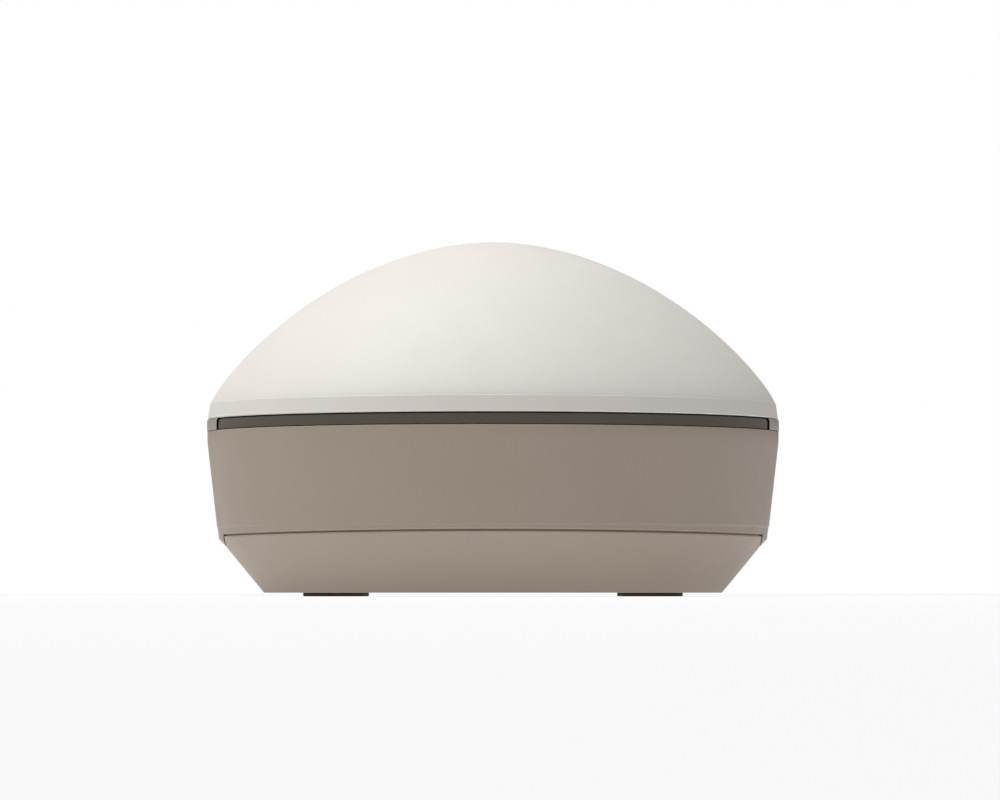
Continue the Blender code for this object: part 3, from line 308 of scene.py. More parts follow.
def fillet(before, corner, after, radius, steps=5):
    """The arc that rounds one corner of an outline, using less than half of either side."""
    to_before, to_after = (before - corner), (after - corner)
    half = to_before.angle(to_after) / 2
    run = min(radius / math.tan(half), 0.45 * min(to_before.length, to_after.length))
    radius = run * math.tan(half)
    to_before.normalize()
    to_after.normalize()
    centre = corner + (to_before + to_after).normalized() * radius / math.sin(half)
    start, end = corner + to_before * run - centre, corner + to_after * run - centre
    first = math.atan2(start.y, start.x)
    sweep = (math.atan2(end.y, end.x) - first + math.pi) % math.tau - math.pi
    angles = [first + sweep * i / steps for i in range(steps + 1)]
    return [centre + radius * Vector((math.cos(angle), math.sin(angle))) for angle in angles]


def outline(corners):
    """Points of an outline whose corners are (radius, height) or (radius, height, rounding)."""
    places = [Vector(corner[:2]) for corner in corners]
    points = []
    for i, corner in enumerate(corners):
        if len(corner) < 3:
            points.append(places[i])
        else:
            points += fillet(places[i - 1], places[i], places[(i + 1) % len(places)], corner[2])
    return points


def turned(corners, steps=ROUND_STEPS):
    """A bmesh turned about Z from an outline; one that stays off the axis is closed to a ring."""
    shape = bmesh.new()
    ring = [shape.verts.new((point.x, 0.0, point.y)) for point in outline(corners)]
    pairs = list(zip(ring, ring[1:]))
    if corners[0][0] > 0.0:
        pairs.append((ring[-1], ring[0]))
    edges = [shape.edges.new(pair) for pair in pairs]
    return spun(shape, [*ring, *edges], steps)


def spun(shape, geom, steps=ROUND_STEPS):
    """Turns some edges of a bmesh a whole turn about Z."""
    bmesh.ops.spin(
        shape, geom=geom, cent=(0, 0, 0), axis=(0, 0, 1), angle=math.tau, steps=steps, use_merge=True
    )
    return tidy(shape)


def tidy(shape):
    """Welds the poles and seams and points the faces outwards."""
    bmesh.ops.remove_doubles(shape, verts=shape.verts, dist=WELD)
    bmesh.ops.dissolve_degenerate(shape, edges=shape.edges, dist=WELD / 2)
    bmesh.ops.recalc_face_normals(shape, faces=shape.faces)
    return shape


def round_bar(radius, low, high, at=(0.0, 0.0), edge=0.0, steps=SMALL_STEPS):
    """A round bar along Z with softened ends."""
    shape = bmesh.new()
    bmesh.ops.create_cone(
        shape, cap_ends=True, segments=steps, radius1=radius, radius2=radius, depth=high - low
    )
    bmesh.ops.translate(shape, vec=(*at, (low + high) / 2), verts=shape.verts)
    if edge:
        rims = [e for e in shape.edges if abs(e.verts[0].co.z - e.verts[1].co.z) < WELD]
        soften(shape, rims, edge, 3)
    return shape


def soften(shape, edges, width, steps=4):
    """Rounds some edges of a bmesh."""
    bmesh.ops.bevel(
        shape, geom=edges, offset=width, segments=steps, affect="EDGES", profile=0.5, material=-1,
        clamp_overlap=True,
    )


def slab(low, high, corner=0.0, edge=0.0, free=lambda place: True, back=False):
    """A block with rounded corners, seen along Z, and a rounded outer rim."""
    low, high = Vector(low), Vector(high)
    shape = bmesh.new()
    bmesh.ops.create_cube(shape, size=1.0)
    bmesh.ops.scale(shape, vec=high - low, verts=shape.verts)
    bmesh.ops.translate(shape, vec=(low + high) / 2, verts=shape.verts)
    if corner:
        upright = [
            e for e in shape.edges
            if abs(e.verts[0].co.z - e.verts[1].co.z) > WELD and free((e.verts[0].co + e.verts[1].co) / 2)
        ]
        soften(shape, upright, corner, 8)
    if edge:
        levels = (high.z, low.z) if back else (high.z,)
        rim = [
            e for e in shape.edges if any(all(abs(v.co.z - z) < WELD for v in e.verts) for z in levels)
        ]
        soften(shape, rim, edge)
    return shape


def block(x, y, low, high, corner=0.0, edge=0.0):
    """A slab centred on the Z axis, given by its half width and half height."""
    return slab((-x, -y, low), (x, y, high), corner, edge)


def spots(count, radius, first=0.0):
    """Places evenly round a circle; the first may be turned by a share of one step."""
    angles = [math.tau * (i + first) / count for i in range(count)]
    return [(radius * math.cos(angle), radius * math.sin(angle)) for angle in angles]


def moved(shape, matrix):
    bmesh.ops.transform(shape, matrix=matrix, verts=shape.verts)
    return shape


# Turns a bar along Z to point along +Y
ALONG_Y = Matrix.Rotation(-math.pi / 2, 4, "X")


def centred(shape, name):
    """Moves a shape sideways from the Z axis to the middle of a CAD node."""
    centre = sum(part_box(name), Vector()) / 2
    return moved(shape, Matrix.Translation((centre.x, centre.y, 0.0)))


def stood(shape):
    """Swaps Y and Z, and points the mirrored faces outwards again."""
    moved(shape, Matrix(((1, 0, 0, 0), (0, 0, 1, 0), (0, 1, 0, 0), (0, 0, 0, 1))))
    bmesh.ops.recalc_face_normals(shape, faces=shape.faces)
    return shape


def sliced(shape, x):
    """Adds a row of edges across a bmesh."""
    bmesh.ops.bisect_plane(
        shape, geom=[*shape.verts, *shape.edges, *shape.faces], dist=WELD, plane_co=(x, 0, 0),
        plane_no=(1, 0, 0),
    )


def merged(*shapes):
    """Several closed bodies in one bmesh."""
    whole = shapes[0]
    for shape in shapes[1:]:
        mesh = bpy.data.meshes.new("part")
        shape.to_mesh(mesh)
        shape.free()
        whole.from_mesh(mesh)
        bpy.data.meshes.remove(mesh)
    return whole


def loose(name, shape):
    """A bmesh as an object in the scene, which uses up the bmesh."""
    mesh = bpy.data.meshes.new(name)
    shape.to_mesh(mesh)
    shape.free()
    made = bpy.data.objects.new(name, mesh)
    bpy.context.scene.collection.objects.link(made)
    return made


def combine(shape, tool, operation):
    """The Boolean of two bmeshes, which are both used up."""
    body, other = loose("body", shape), loose("tool", tool)
    step = body.modifiers.new("Combine", "BOOLEAN")
    step.operation = operation
    step.solver = "EXACT"
    step.object = other
    result = bmesh.new()
    result.from_object(body, bpy.context.evaluated_depsgraph_get())
    for used in (body, other):
        mesh = used.data
        bpy.data.objects.remove(used)
        bpy.data.meshes.remove(mesh)
    bmesh.ops.remove_doubles(result, verts=result.verts, dist=WELD)
    if not result.faces:
        raise RuntimeError("a Boolean left nothing")
    return result


def cut(shape, *tools):
    """A bmesh less each tool in turn."""
    for tool in tools:
        shape = combine(shape, tool, "DIFFERENCE")
    return shape


def joined(shape, *others):
    """A bmesh joined with each other one in turn."""
    for other in others:
        shape = combine(shape, other, "UNION")
    return shape


def thread(radius, depth, pitch, turns, low, inward=True):
    """The helical ridge of a thread; its root is sunk a little in the wall that it stands on."""
    side = -1.0 if inward else 1.0
    root, crest = radius - side * GAP / 2, radius + side * depth
    foot, top = 0.44 * pitch, 0.08 * pitch
    shape = bmesh.new()
    section = [(root, -foot), (crest, -top), (crest, top), (root, foot)]
    points = [shape.verts.new((out, 0.0, low + z)) for out, z in section]
    face = shape.faces.new(points)
    bmesh.ops.spin(
        shape, geom=[*points, *face.edges, face], cent=(0, 0, 0), axis=(0, 0, 1), angle=math.tau * turns,
        steps=round(turns * THREAD_STEPS), dvec=(0, 0, pitch / THREAD_STEPS),
    )
    return tidy(shape)


def wall_lean():
    """Slope of the housing's wall below its knee, outwards from the vertical."""
    shell = settings("shell")
    return math.atan2(BODY_RADIUS - shell.ledge_radius, shell.knee - shell.ledge_high)


def wall_radius(height):
    """Outer radius of the housing's wall below its knee."""
    shell = settings("shell")
    return shell.ledge_radius + (height - BASE - shell.ledge_high) * math.tan(wall_lean())


def wall_place(angle, height, x=0.0):
    """X along the wall to the right, Y up it and Z out of it; the angle is from +Y towards +X."""
    face_out = Matrix(((-1, 0, 0, 0), (0, 0, 1, 0), (0, 1, 0, 0), (0, 0, 0, 1)))
    return (
        Matrix.Rotation(-angle, 4, "Z")
        @ Matrix.Translation((0.0, wall_radius(height), height))
        @ Matrix.Rotation(-wall_lean(), 4, "X")
        @ face_out
        @ Matrix.Translation((x, 0.0, 0.0))
    )


def control_place(kind, x=0.0):
    """The place on the wall of the buttons or of one socket."""
    control = settings("control")
    return wall_place(getattr(control, f"{kind}_angle"), BASE + control.height, x)


def button_place(side):
    """The place on the wall of one button."""
    return control_place("button", side * settings("control").button_spacing / 2)


def bent(shape):
    """Bends a flat bmesh round the wall: X runs along it, Y is the height and Z the outset."""
    xs = [v.co.x for v in shape.verts]
    heights = [v.co.y for v in shape.verts]
    base_radius = wall_radius((min(heights) + max(heights)) / 2)
    count = math.ceil(math.degrees((max(xs) - min(xs)) / base_radius) / BEND_STEP)
    for i in range(1, count):
        sliced(shape, min(xs) + (max(xs) - min(xs)) * i / count)
    for v in shape.verts:
        out, angle = wall_radius(v.co.y) + v.co.z, v.co.x / base_radius
        v.co = Vector((-out * math.sin(angle), out * math.cos(angle), v.co.y))
    return shape


def add_piece(name, shape, look, nodes=(), body="receiver"):
    """Puts a finished bmesh in the scene as a piece that stands for some CAD nodes."""
    shape.normal_update()
    made = loose(name, shape)
    made.data.materials.append(look)
    made.data.shade_smooth()
    made.data.set_sharp_from_angle(angle=math.radians(SHARP_ANGLE))
    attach(made, body)
    if nodes:
        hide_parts(*nodes)


# --- Finishes --------------------------------------------------------------------------------


def noise(tree, mapping, scale, detail):
    """The value of a noise on the mapped Object coordinates."""
    made = tree.nodes.new("ShaderNodeTexNoise")
    made.inputs["Scale"].default_value = scale
    made.inputs["Detail"].default_value = detail
    tree.links.new(mapping.outputs["Vector"], made.inputs["Vector"])
    return made.outputs["Fac"]


def finish(name, colour, roughness, grain=0.0003, depth=0.2, spread=0.05, metallic=0.0, ior=1.5,
           patch=0.012, stretch=(1.0, 1.0, 1.0), coat=0.0, wander=0.06):
    """A Principled finish: cloudy colour, uneven roughness and a fine surface grain, in metres."""
    made = bpy.data.materials.get(name)
    if made:
        return made
    made = bpy.data.materials.new(name)
    made.use_nodes = True
    tree = made.node_tree
    nodes, links = tree.nodes, tree.links
    shader = nodes["Principled BSDF"]
    shader.inputs["Metallic"].default_value = metallic
    shader.inputs["IOR"].default_value = ior
    shader.inputs["Coat Weight"].default_value = coat
    place, mapping = nodes.new("ShaderNodeTexCoord"), nodes.new("ShaderNodeMapping")
    mapping.inputs["Scale"].default_value = stretch
    links.new(place.outputs["Object"], mapping.inputs["Vector"])
    low, high = NOISE_RANGE

    ramp = nodes.new("ShaderNodeValToRGB")
    for stop, at, factor in zip(ramp.color_ramp.elements, NOISE_RANGE, (1.0 - spread, 1.0 + spread)):
        stop.position = at
        stop.color = (*[min(1.0, channel * factor) for channel in colour], 1.0)
    links.new(noise(tree, mapping, 1.0 / patch, 4.0), ramp.inputs["Fac"])
    links.new(ramp.outputs["Color"], shader.inputs["Base Color"])

    uneven = nodes.new("ShaderNodeMapRange")
    uneven.inputs["From Min"].default_value = low
    uneven.inputs["From Max"].default_value = high
    uneven.inputs["To Min"].default_value = roughness - wander
    uneven.inputs["To Max"].default_value = roughness + wander
    links.new(noise(tree, mapping, 4.0 / patch, 6.0), uneven.inputs["Value"])
    links.new(uneven.outputs["Result"], shader.inputs["Roughness"])

    bump = nodes.new("ShaderNodeBump")
    bump.inputs["Strength"].default_value = depth
    bump.inputs["Distance"].default_value = grain / 6
    links.new(noise(tree, mapping, 1.0 / grain, 3.0), bump.inputs["Height"])
    links.new(bump.outputs["Normal"], shader.inputs["Normal"])
    return made


def radome_finish():
    return finish(
        "satin_radome", settings("colours").radome, roughness=0.60, grain=0.0004, depth=0.10,
        spread=0.012, ior=1.46, patch=0.030,
    )


def case_finish():
    return finish(
        "grained_case", settings("colours").case, roughness=0.50, grain=0.00035, depth=0.22,
        spread=0.02, patch=0.025,
    )


def trim_finish():
    return finish("satin_trim", settings("colours").trim, roughness=0.42, depth=0.15, spread=0.03)


def window_finish():
    return finish(
        "smoked_lens", settings("colours").window, roughness=0.30, grain=0.0006, depth=0.02,
        spread=0.04, coat=0.2, wander=0.02,
    )


def rubber_finish():
    return finish(
        "moulded_rubber", settings("colours").rubber, roughness=0.78, grain=0.0002, depth=0.35,
        spread=0.15,
    )


TURNED_METAL = {"grain": 0.0001, "depth": 0.08, "spread": 0.04, "metallic": 1.0, "stretch": (1, 1, 8)}


def steel_finish():
    return finish("turned_steel", (0.56, 0.56, 0.57), roughness=0.30, **TURNED_METAL)


def brass_finish():
    return finish("turned_brass", (0.70, 0.52, 0.24), roughness=0.28, wander=0.03, **TURNED_METAL)


def aluminium_finish():
    return finish(
        "bead_blasted_aluminium", (0.72, 0.72, 0.74), roughness=0.42, grain=0.0002, depth=0.35,
        spread=0.04, metallic=1.0,
    )


def black_finish():
    return finish("moulded_black", (0.035, 0.034, 0.033), roughness=0.50, depth=0.25, spread=0.12)


def insulator_finish():
    return finish("insulator", (0.82, 0.80, 0.76), roughness=0.45, depth=0.1, spread=0.02)


def board_finish():
    """Green solder resist with the tracks showing through it."""
    resist = (0.012, 0.100, 0.045)
    made = finish("solder_resist", resist, roughness=0.36, grain=0.0004, spread=0.15, coat=0.3)
    nodes, links = made.node_tree.nodes, made.node_tree.links
    if "Tracks" in nodes:
        return made
    tracks = nodes.new("ShaderNodeTexBrick")
    tracks.name = "Tracks"
    tracks.inputs["Scale"].default_value = 180.0
    tracks.inputs["Mortar Size"].default_value = 0.06
    tracks.inputs["Color1"].default_value = (*resist, 1.0)
    tracks.inputs["Color2"].default_value = (0.014, 0.115, 0.050, 1.0)
    tracks.inputs["Mortar"].default_value = (0.030, 0.200, 0.080, 1.0)
    place = next(node for node in nodes if node.bl_idname == "ShaderNodeTexCoord")
    links.new(place.outputs["Object"], tracks.inputs["Vector"])
    links.new(tracks.outputs["Color"], nodes["Principled BSDF"].inputs["Base Color"])
    return made


def laminate_finish():
    return finish(
        "microwave_laminate", (0.60, 0.54, 0.40), roughness=0.55, grain=0.0005, depth=0.3, spread=0.08
    )


def wrap_finish():
    return finish(
        "battery_wrap", (0.045, 0.055, 0.080), roughness=0.30, grain=0.0008, depth=0.12, spread=0.10,
        coat=0.25,
    )


def dress(look, *nodes):
    """Gives CAD nodes that stay in view their finish."""
    for name in nodes:
        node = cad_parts[name]
        if not node.material_slots:
            node.data.materials.append(look)
        for place in node.material_slots:
            place.material = look


# --- Pieces ----------------------------------------------------------------------------------


class PieceOperator:
    """What the operators share."""

    bl_options = {"REGISTER", "UNDO"}


def dome_points(radius, height, low, count):
    """The dome's outline from the top down to its edge."""
    shell = settings("shell")
    points = []
    for i in range(count + 1):
        out = math.sin(math.pi / 2 * i / count)
        rise = (1.0 - out**shell.dome_sharpness) ** shell.dome_fullness
        points.append((radius * out, low + height * rise))
    return points


class GNSS_OT_radome(PieceOperator, bpy.types.Operator):
    """Turn the radome with its crease, rim, bead and screw bosses, and the seal under it"""

    bl_idname = "gnss.radome"
    bl_label = "Radome"

    def execute(self, context):
        shell, trim = settings("shell"), settings("trim")
        slot = RIM_RADIUS - trim.slot_depth
        self.add_shell(shell, slot - trim.web)
        self.add_seal(slot - trim.web / 2)
        return {"FINISHED"}

    def add_shell(self, shell, inside):
        """The moulding: the dome, a rim that widens to its bead, and the bosses inside."""
        crease, wall, bead = BASE + shell.crease, shell.radome_wall, shell.bead
        outer = dome_points(shell.dome_radius, APEX - crease, crease, 64)[:-1]
        inner = dome_points(shell.dome_radius - wall, APEX - crease - wall, crease, 40)
        rim = [
            (shell.dome_radius + bead / 4, crease, SOFT), (shell.rim_foot, RIM + bead, FINE),
            (shell.rim_foot + bead / 4, RIM + bead / 2, FINE), (shell.rim_foot - bead / 4, RIM, FINE),
            (inside, RIM, SOFT),
        ]
        shape = turned([*outer, *rim, *inner[::-1]])
        for i in range(1, 5):
            boss = round_bar(shell.boss, BOSS_LOW, BOSS_LOW + shell.boss_height, edge=SOFT, steps=24)
            shape = joined(shape, centred(boss, f"radome_screw_{i}"))
        add_piece("radome_shell", shape, radome_finish(), ["radome"])

    def add_seal(self, radius):
        """The round cord in the trim ring's groove."""
        seal = bmesh.new()
        bmesh.ops.create_circle(seal, cap_ends=False, segments=16, radius=2 * GAP)
        moved(seal, Matrix.Translation((radius, 0, RIM - 3 * GAP)) @ Matrix.Rotation(math.pi / 2, 4, "X"))
        spun(seal, [*seal.verts, *seal.edges])
        add_piece("seal_cord", seal, rubber_finish(), ["radome_gasket"])


class GNSS_OT_trim(PieceOperator, bpy.types.Operator):
    """Turn the trim ring, cut its two slots and shape the light windows that sit in them"""

    bl_idname = "gnss.trim"
    bl_label = "Trim ring and windows"

    def execute(self, context):
        trim = settings("trim")
        floor = RIM_RADIUS - trim.slot_depth
        inside, middle = floor - trim.web, floor - trim.web / 2
        near, far, groove_low = middle - trim.groove, middle + trim.groove, RIM - 6 * GAP
        ring = turned([
            (RIM_RADIUS, TRIM_HIGH, trim.edge), (RIM_RADIUS, TRIM_LOW, trim.foot), (inside, TRIM_LOW),
            (inside, TRIM_HIGH), (near, TRIM_HIGH), (near, groove_low), (far, groove_low),
            (far, TRIM_HIGH),
        ])
        reach, outer = RIM_RADIUS + trim.web, RIM_RADIUS - trim.inset
        for side in (-1, 1):
            low, high = TRIM_LOW - trim.corner, TRIM_HIGH + GAP / 4
            ring = cut(ring, self.band(side, (floor, reach), low, high, trim.slot_half))
        add_piece("trim_band", ring, trim_finish(), ["trim_ring"])
        for name, side in (("front", -1), ("back", 1)):
            low, half = TRIM_LOW + GAP / 4, trim.slot_half - trim.end_gap
            pane = self.band(side, (outer - trim.window, outer), low, WINDOW_HIGH, half)
            add_piece(f"window_{name}", pane, window_finish(), [f"light_window_{name}"])
        dress(board_finish(), "led_strip_front", "led_strip_back")
        return {"FINISHED"}

    def band(self, side, radii, low, high, half):
        """The front or back part of a ring, with straight ends and rounded upper corners."""
        corner = settings("trim").corner
        near, far = sorted((side * GAP, side * FAR))
        limit = stood(slab(
            (-half, low - corner, near), (half, high, far), corner, 0.0,
            lambda place: place.y > (low + high) / 2,
        ))
        ring = turned([(radii[0], low), (radii[0], high), (radii[1], high), (radii[1], low)])
        return combine(ring, limit, "INTERSECT")


def seam_height():
    """Height of the seam's ends."""
    shell = settings("shell")
    return BASE + shell.waist + shell.seam_rise


def arch(x):
    """Rise of the seam above its ends."""
    shell = settings("shell")
    return shell.seam_arch * max(0.0, 1.0 - (x / shell.cheek) ** 2)


def seam_block(half, drop=0.0, above=False):
    """The space under the arched seam, or above it, right through from front to back."""
    seam = seam_height() - drop
    middle = seam + (FAR / 2 if above else -FAR / 2)
    shape = block(half, FAR / 2, middle - FAR / 2, middle + FAR / 2)
    for i in range(1, SEAM_STEPS):
        sliced(shape, half * (2 * i / SEAM_STEPS - 1.0))
    for v in shape.verts:
        if abs(v.co.z - seam) < WELD:
            v.co.z += arch(v.co.x)
    return shape


def seam_ring(corners):
    """A ring that follows the arched seam; the heights of its outline are above the seam."""
    ring = turned([(radius, seam_height() + height) for radius, height in corners])
    for v in ring.verts:
        v.co.z += arch(v.co.x)
    bmesh.ops.triangulate(ring, faces=ring.faces)
    return ring


def doorway_blocks():
    """The door's opening, and the notch beside it for the hinge barrels."""
    door, deep = settings("door"), 0.010
    half = door.half_angle * wall_radius(DOOR_MIDDLE)
    opening = slab(
        (-half - GAP, DOOR_LOW - GAP, -deep), (half + GAP, DOOR_HIGH + GAP, deep), door.corner + GAP, 0.0,
        lambda place: place.x > 0,
    )
    room, reach = 2 * (door.barrel + GAP), knuckle_spans()[2][1] + GAP
    notch = slab((-half - room, DOOR_MIDDLE - reach, -deep), (-half + GAP, DOOR_MIDDLE + reach, deep))
    return bent(opening), bent(notch)


def hinge_place():
    """Y runs up the hinge axis and Z out of the wall."""
    door = settings("door")
    angle = door.half_angle + (GAP + door.barrel) / wall_radius(DOOR_MIDDLE)
    return wall_place(angle, DOOR_MIDDLE) @ Matrix.Translation((0, 0, -door.sink))


def knuckle_spans():
    """Ends of the lower, middle and upper knuckles along the hinge."""
    half = settings("door").knuckle / 2
    return (-3 * half - GAP, -half - GAP), (-half, half), (half + GAP, 3 * half + GAP)


def knuckle(index, side):
    """One hinge barrel with its leaf, and the bore through it."""
    door, (low, high) = settings("door"), knuckle_spans()[index]
    barrel = moved(round_bar(door.barrel, low, high, edge=FINE, steps=40), ALONG_Y)
    near, far = sorted((0.0, side * (door.barrel + 4 * GAP + door.leaf)))
    leaf = slab((near, low + GAP, -door.leaf), (far, high - GAP, door.sink - GAP))
    bore = moved(round_bar(door.bore, low - door.leaf, high + door.leaf, steps=24), ALONG_Y)
    return moved(cut(joined(barrel, leaf), bore), hinge_place())


def flap_halves(kind):
    """Half width and half height of a flap."""
    control = settings("control")
    if kind == "usb":
        return control.usb_width / 2 + control.usb_side, control.usb_height / 2 + control.usb_over
    half = control.data_radius + control.data_over
    return half, half


class GNSS_OT_housing(PieceOperator, bpy.types.Operator):
    """Turn the housing, cut its seam, doorway, pockets and holes, and add its hinge knuckles"""

    bl_idname = "gnss.housing"
    bl_label = "Housing"

    def execute(self, context):
        shell, control = settings("shell"), settings("control")
        waist, ledge, knee = BASE + shell.waist, BASE + shell.ledge_high, BASE + shell.knee
        inner_waist, inner_wall = shell.waist_radius - shell.wall, BODY_RADIUS - shell.wall
        shelf = BODY_TOP - shell.shelf
        housing = turned([
            (BODY_RADIUS, BODY_TOP, shell.top_edge), (BODY_RADIUS, knee, shell.knee_bend),
            (shell.ledge_radius, ledge, FINE),
            (shell.ledge_radius - shell.ledge_step, BASE + shell.ledge_low, SOFT),
            (shell.waist_radius, waist, SOFT), (shell.cheek, CHEEK_LOW, FINE), (inner_waist, CHEEK_LOW),
            (inner_waist, waist), (shell.ledge_radius - shell.wall, ledge), (inner_wall, knee),
            (inner_wall, shelf), (shell.shelf_radius, shelf), (shell.shelf_radius, BODY_TOP),
        ])
        housing = cut(housing, seam_block(shell.cheek), self.seam_lip(shell))
        housing = joined(housing, *self.pads(shell, control))
        housing = cut(housing, *doorway_blocks(), *self.openings(shell, control))
        housing = joined(housing, knuckle(0, -1.0), knuckle(2, -1.0))
        add_piece("housing_shell", housing, case_finish(), ["housing"])
        return {"FINISHED"}

    def seam_lip(self, shell):
        """A ring of triangular section that chamfers the housing's lower edge between the cheeks."""
        lip, reach = shell.seam_lip, 0.002
        edge = (shell.waist_radius + shell.ledge_radius - shell.ledge_step) / 2
        near, far = edge - lip - reach, edge + reach
        ring = seam_ring([(near, -reach), (far, -reach), (far, lip + reach)])
        limit = slab((-shell.cheek, -FAR, 0.0), (shell.cheek, FAR, FAR))
        return combine(ring, limit, "INTERSECT")

    def pads(self, shell, control):
        """Thick places behind the wall for the flaps' pockets, the antenna socket and the buttons."""
        halves = [(kind, flap_halves(kind)) for kind in ("usb", "data")]
        halves.append(("antenna", (control.coax_radius, control.coax_radius)))
        for kind, (x, y) in halves:
            pad = block(x + shell.wall, y + shell.wall, -control.pad_depth, -shell.wall / 2)
            yield moved(pad, control_place(kind))
        wide, tall = control.button_spacing + control.button_margin, 2 * control.button_radius
        yield moved(block(wide, tall, -control.pad_depth, GAP - shell.wall), control_place("button"))

    def openings(self, shell, control):
        """Each hole or pocket, with a small countersink where it meets the wall."""
        deep, pocket_corner, mouth_corner = 0.020, 0.0012, 0.0015
        for side in (-1, 1):
            yield moved(self.hole(control.button_radius + GAP, deep), button_place(side))
            seat = round_bar(control.button_flange + GAP, -deep, GAP - shell.wall)
            yield moved(seat, button_place(side))
        yield moved(self.hole(control.coax_radius + GAP, deep), control_place("antenna"))
        for kind in ("usb", "data"):
            x, y = flap_halves(kind)
            foot = y + 2 * control.flap_barrel
            pocket = slab(
                (-x - GAP, -foot - GAP, -control.flap_wall - GAP), (x + GAP, y + GAP, control.pad_depth),
                pocket_corner, 0.0, lambda place: place.y > 0,
            )
            yield moved(pocket, control_place(kind))
        wide, tall = control.usb_width / 2 + 3 * GAP, control.usb_height / 2 + 3 * GAP
        yield moved(block(wide, tall, -deep, 0.0, mouth_corner), control_place("usb"))
        yield moved(round_bar(control.data_radius + GAP, -deep, 0.0), control_place("data"))

    def hole(self, radius, deep):
        """A round cutter that widens at the wall."""
        reach = 0.004
        return turned([
            (0.0, reach), (radius + SOFT + reach, reach), (radius, -SOFT), (radius, -deep), (0.0, -deep)
        ], SMALL_STEPS)


class GNSS_OT_lower_case(PieceOperator, bpy.types.Operator):
    """Turn the lower case, arch its seam and cut the seats in its underside"""

    bl_idname = "gnss.lower_case"
    bl_label = "Lower case"

    def execute(self, context):
        shell, under = settings("shell"), settings("under")
        waist, floor = BASE + shell.waist, BASE + under.floor
        top = seam_height() + shell.seam_arch + shell.wall
        slope = (shell.waist_radius - shell.base_radius) / shell.waist
        inside = shell.waist_radius - shell.wall
        case = turned([
            (0.0, floor), (shell.base_radius - shell.wall + under.floor * slope, floor),
            (inside, waist), (inside, top), (shell.waist_radius, top), (shell.waist_radius, waist, SOFT),
            (shell.base_radius, BASE, shell.base_edge), (0.0, BASE),
        ])
        self.lift_waist(case, shell, inside)
        right = slab((CASE_HALF_WIDTH, -FAR, -FAR), (FAR, FAR, FAR))
        left = slab((-FAR, -FAR, -FAR), (-CASE_HALF_WIDTH, FAR, FAR))
        above = seam_block(FAR / 2, GAP / 10, above=True)
        case = cut(case, above, *self.seam_cuts(shell, inside), right, left)
        wall, middle = under.insert_wall, BASE + under.floor / 2
        boss = round_bar(under.insert_radius + GAP + wall, middle, INSERT_TOP - under.insert_step)
        collar = round_bar(under.insert_flange + wall, middle, floor + under.insert_step)
        case = cut(joined(case, boss, collar), *self.seats(under))
        add_piece("lower_case_shell", case, case_finish(), ["bottom_case"])
        return {"FINISHED"}

    def lift_waist(self, case, shell, inside):
        """Raises the lower case's outer corner so that it follows the seam."""
        waist = BASE + shell.waist
        for v in case.verts:
            if abs(v.co.z - waist) < shell.seam_strip and Vector(v.co[:2]).length > inside + GAP:
                v.co.z += shell.seam_rise - shell.seam_gap - shell.seam_strip + arch(v.co.x)
        bmesh.ops.triangulate(case, faces=case.faces)

    def seam_cuts(self, shell, inside):
        """The open seam outside the tongue, and the step inside it."""
        reach, low, tongue = 0.008, -shell.seam_gap, shell.waist_radius - shell.tongue_depth
        for near, far in ((tongue, tongue + reach), (inside - reach, tongue - shell.tongue)):
            yield seam_ring([(near, low), (far, low), (far, reach), (near, reach)])

    def seats(self, under):
        """Recesses and holes in the underside, each with a fine chamfer."""
        for name in FEET:
            low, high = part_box(name)
            yield centred(self.seat((high.x - low.x) / 2 + GAP, high.z + GAP), name)
        for i in range(1, 5):
            name = f"case_screw_{i}"
            yield centred(self.seat(under.screw_head + GAP, screw_seat(name) + GAP), name)
            yield centred(self.seat(under.screw_shank + GAP, BASE + under.screw_bore, 0.0), name)
        yield centred(self.seat(under.vent + GAP, FAR / 4), "vent_plug")
        yield self.seat(under.insert_flange + GAP, BASE + under.flange_wall + GAP)
        yield self.seat(under.insert_radius + GAP, FAR / 4, 0.0)

    def seat(self, radius, top, edge=FINE):
        """A round cutter that widens at the underside."""
        reach = 0.002
        return turned([
            (0.0, top), (radius, top), (radius, BASE + edge), (radius + edge + reach, BASE - reach),
            (0.0, BASE - reach),
        ], SMALL_STEPS)


def screw_seat(name):
    """Height of the inner face of a case screw's head."""
    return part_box(name)[0].z + settings("under").screw_height


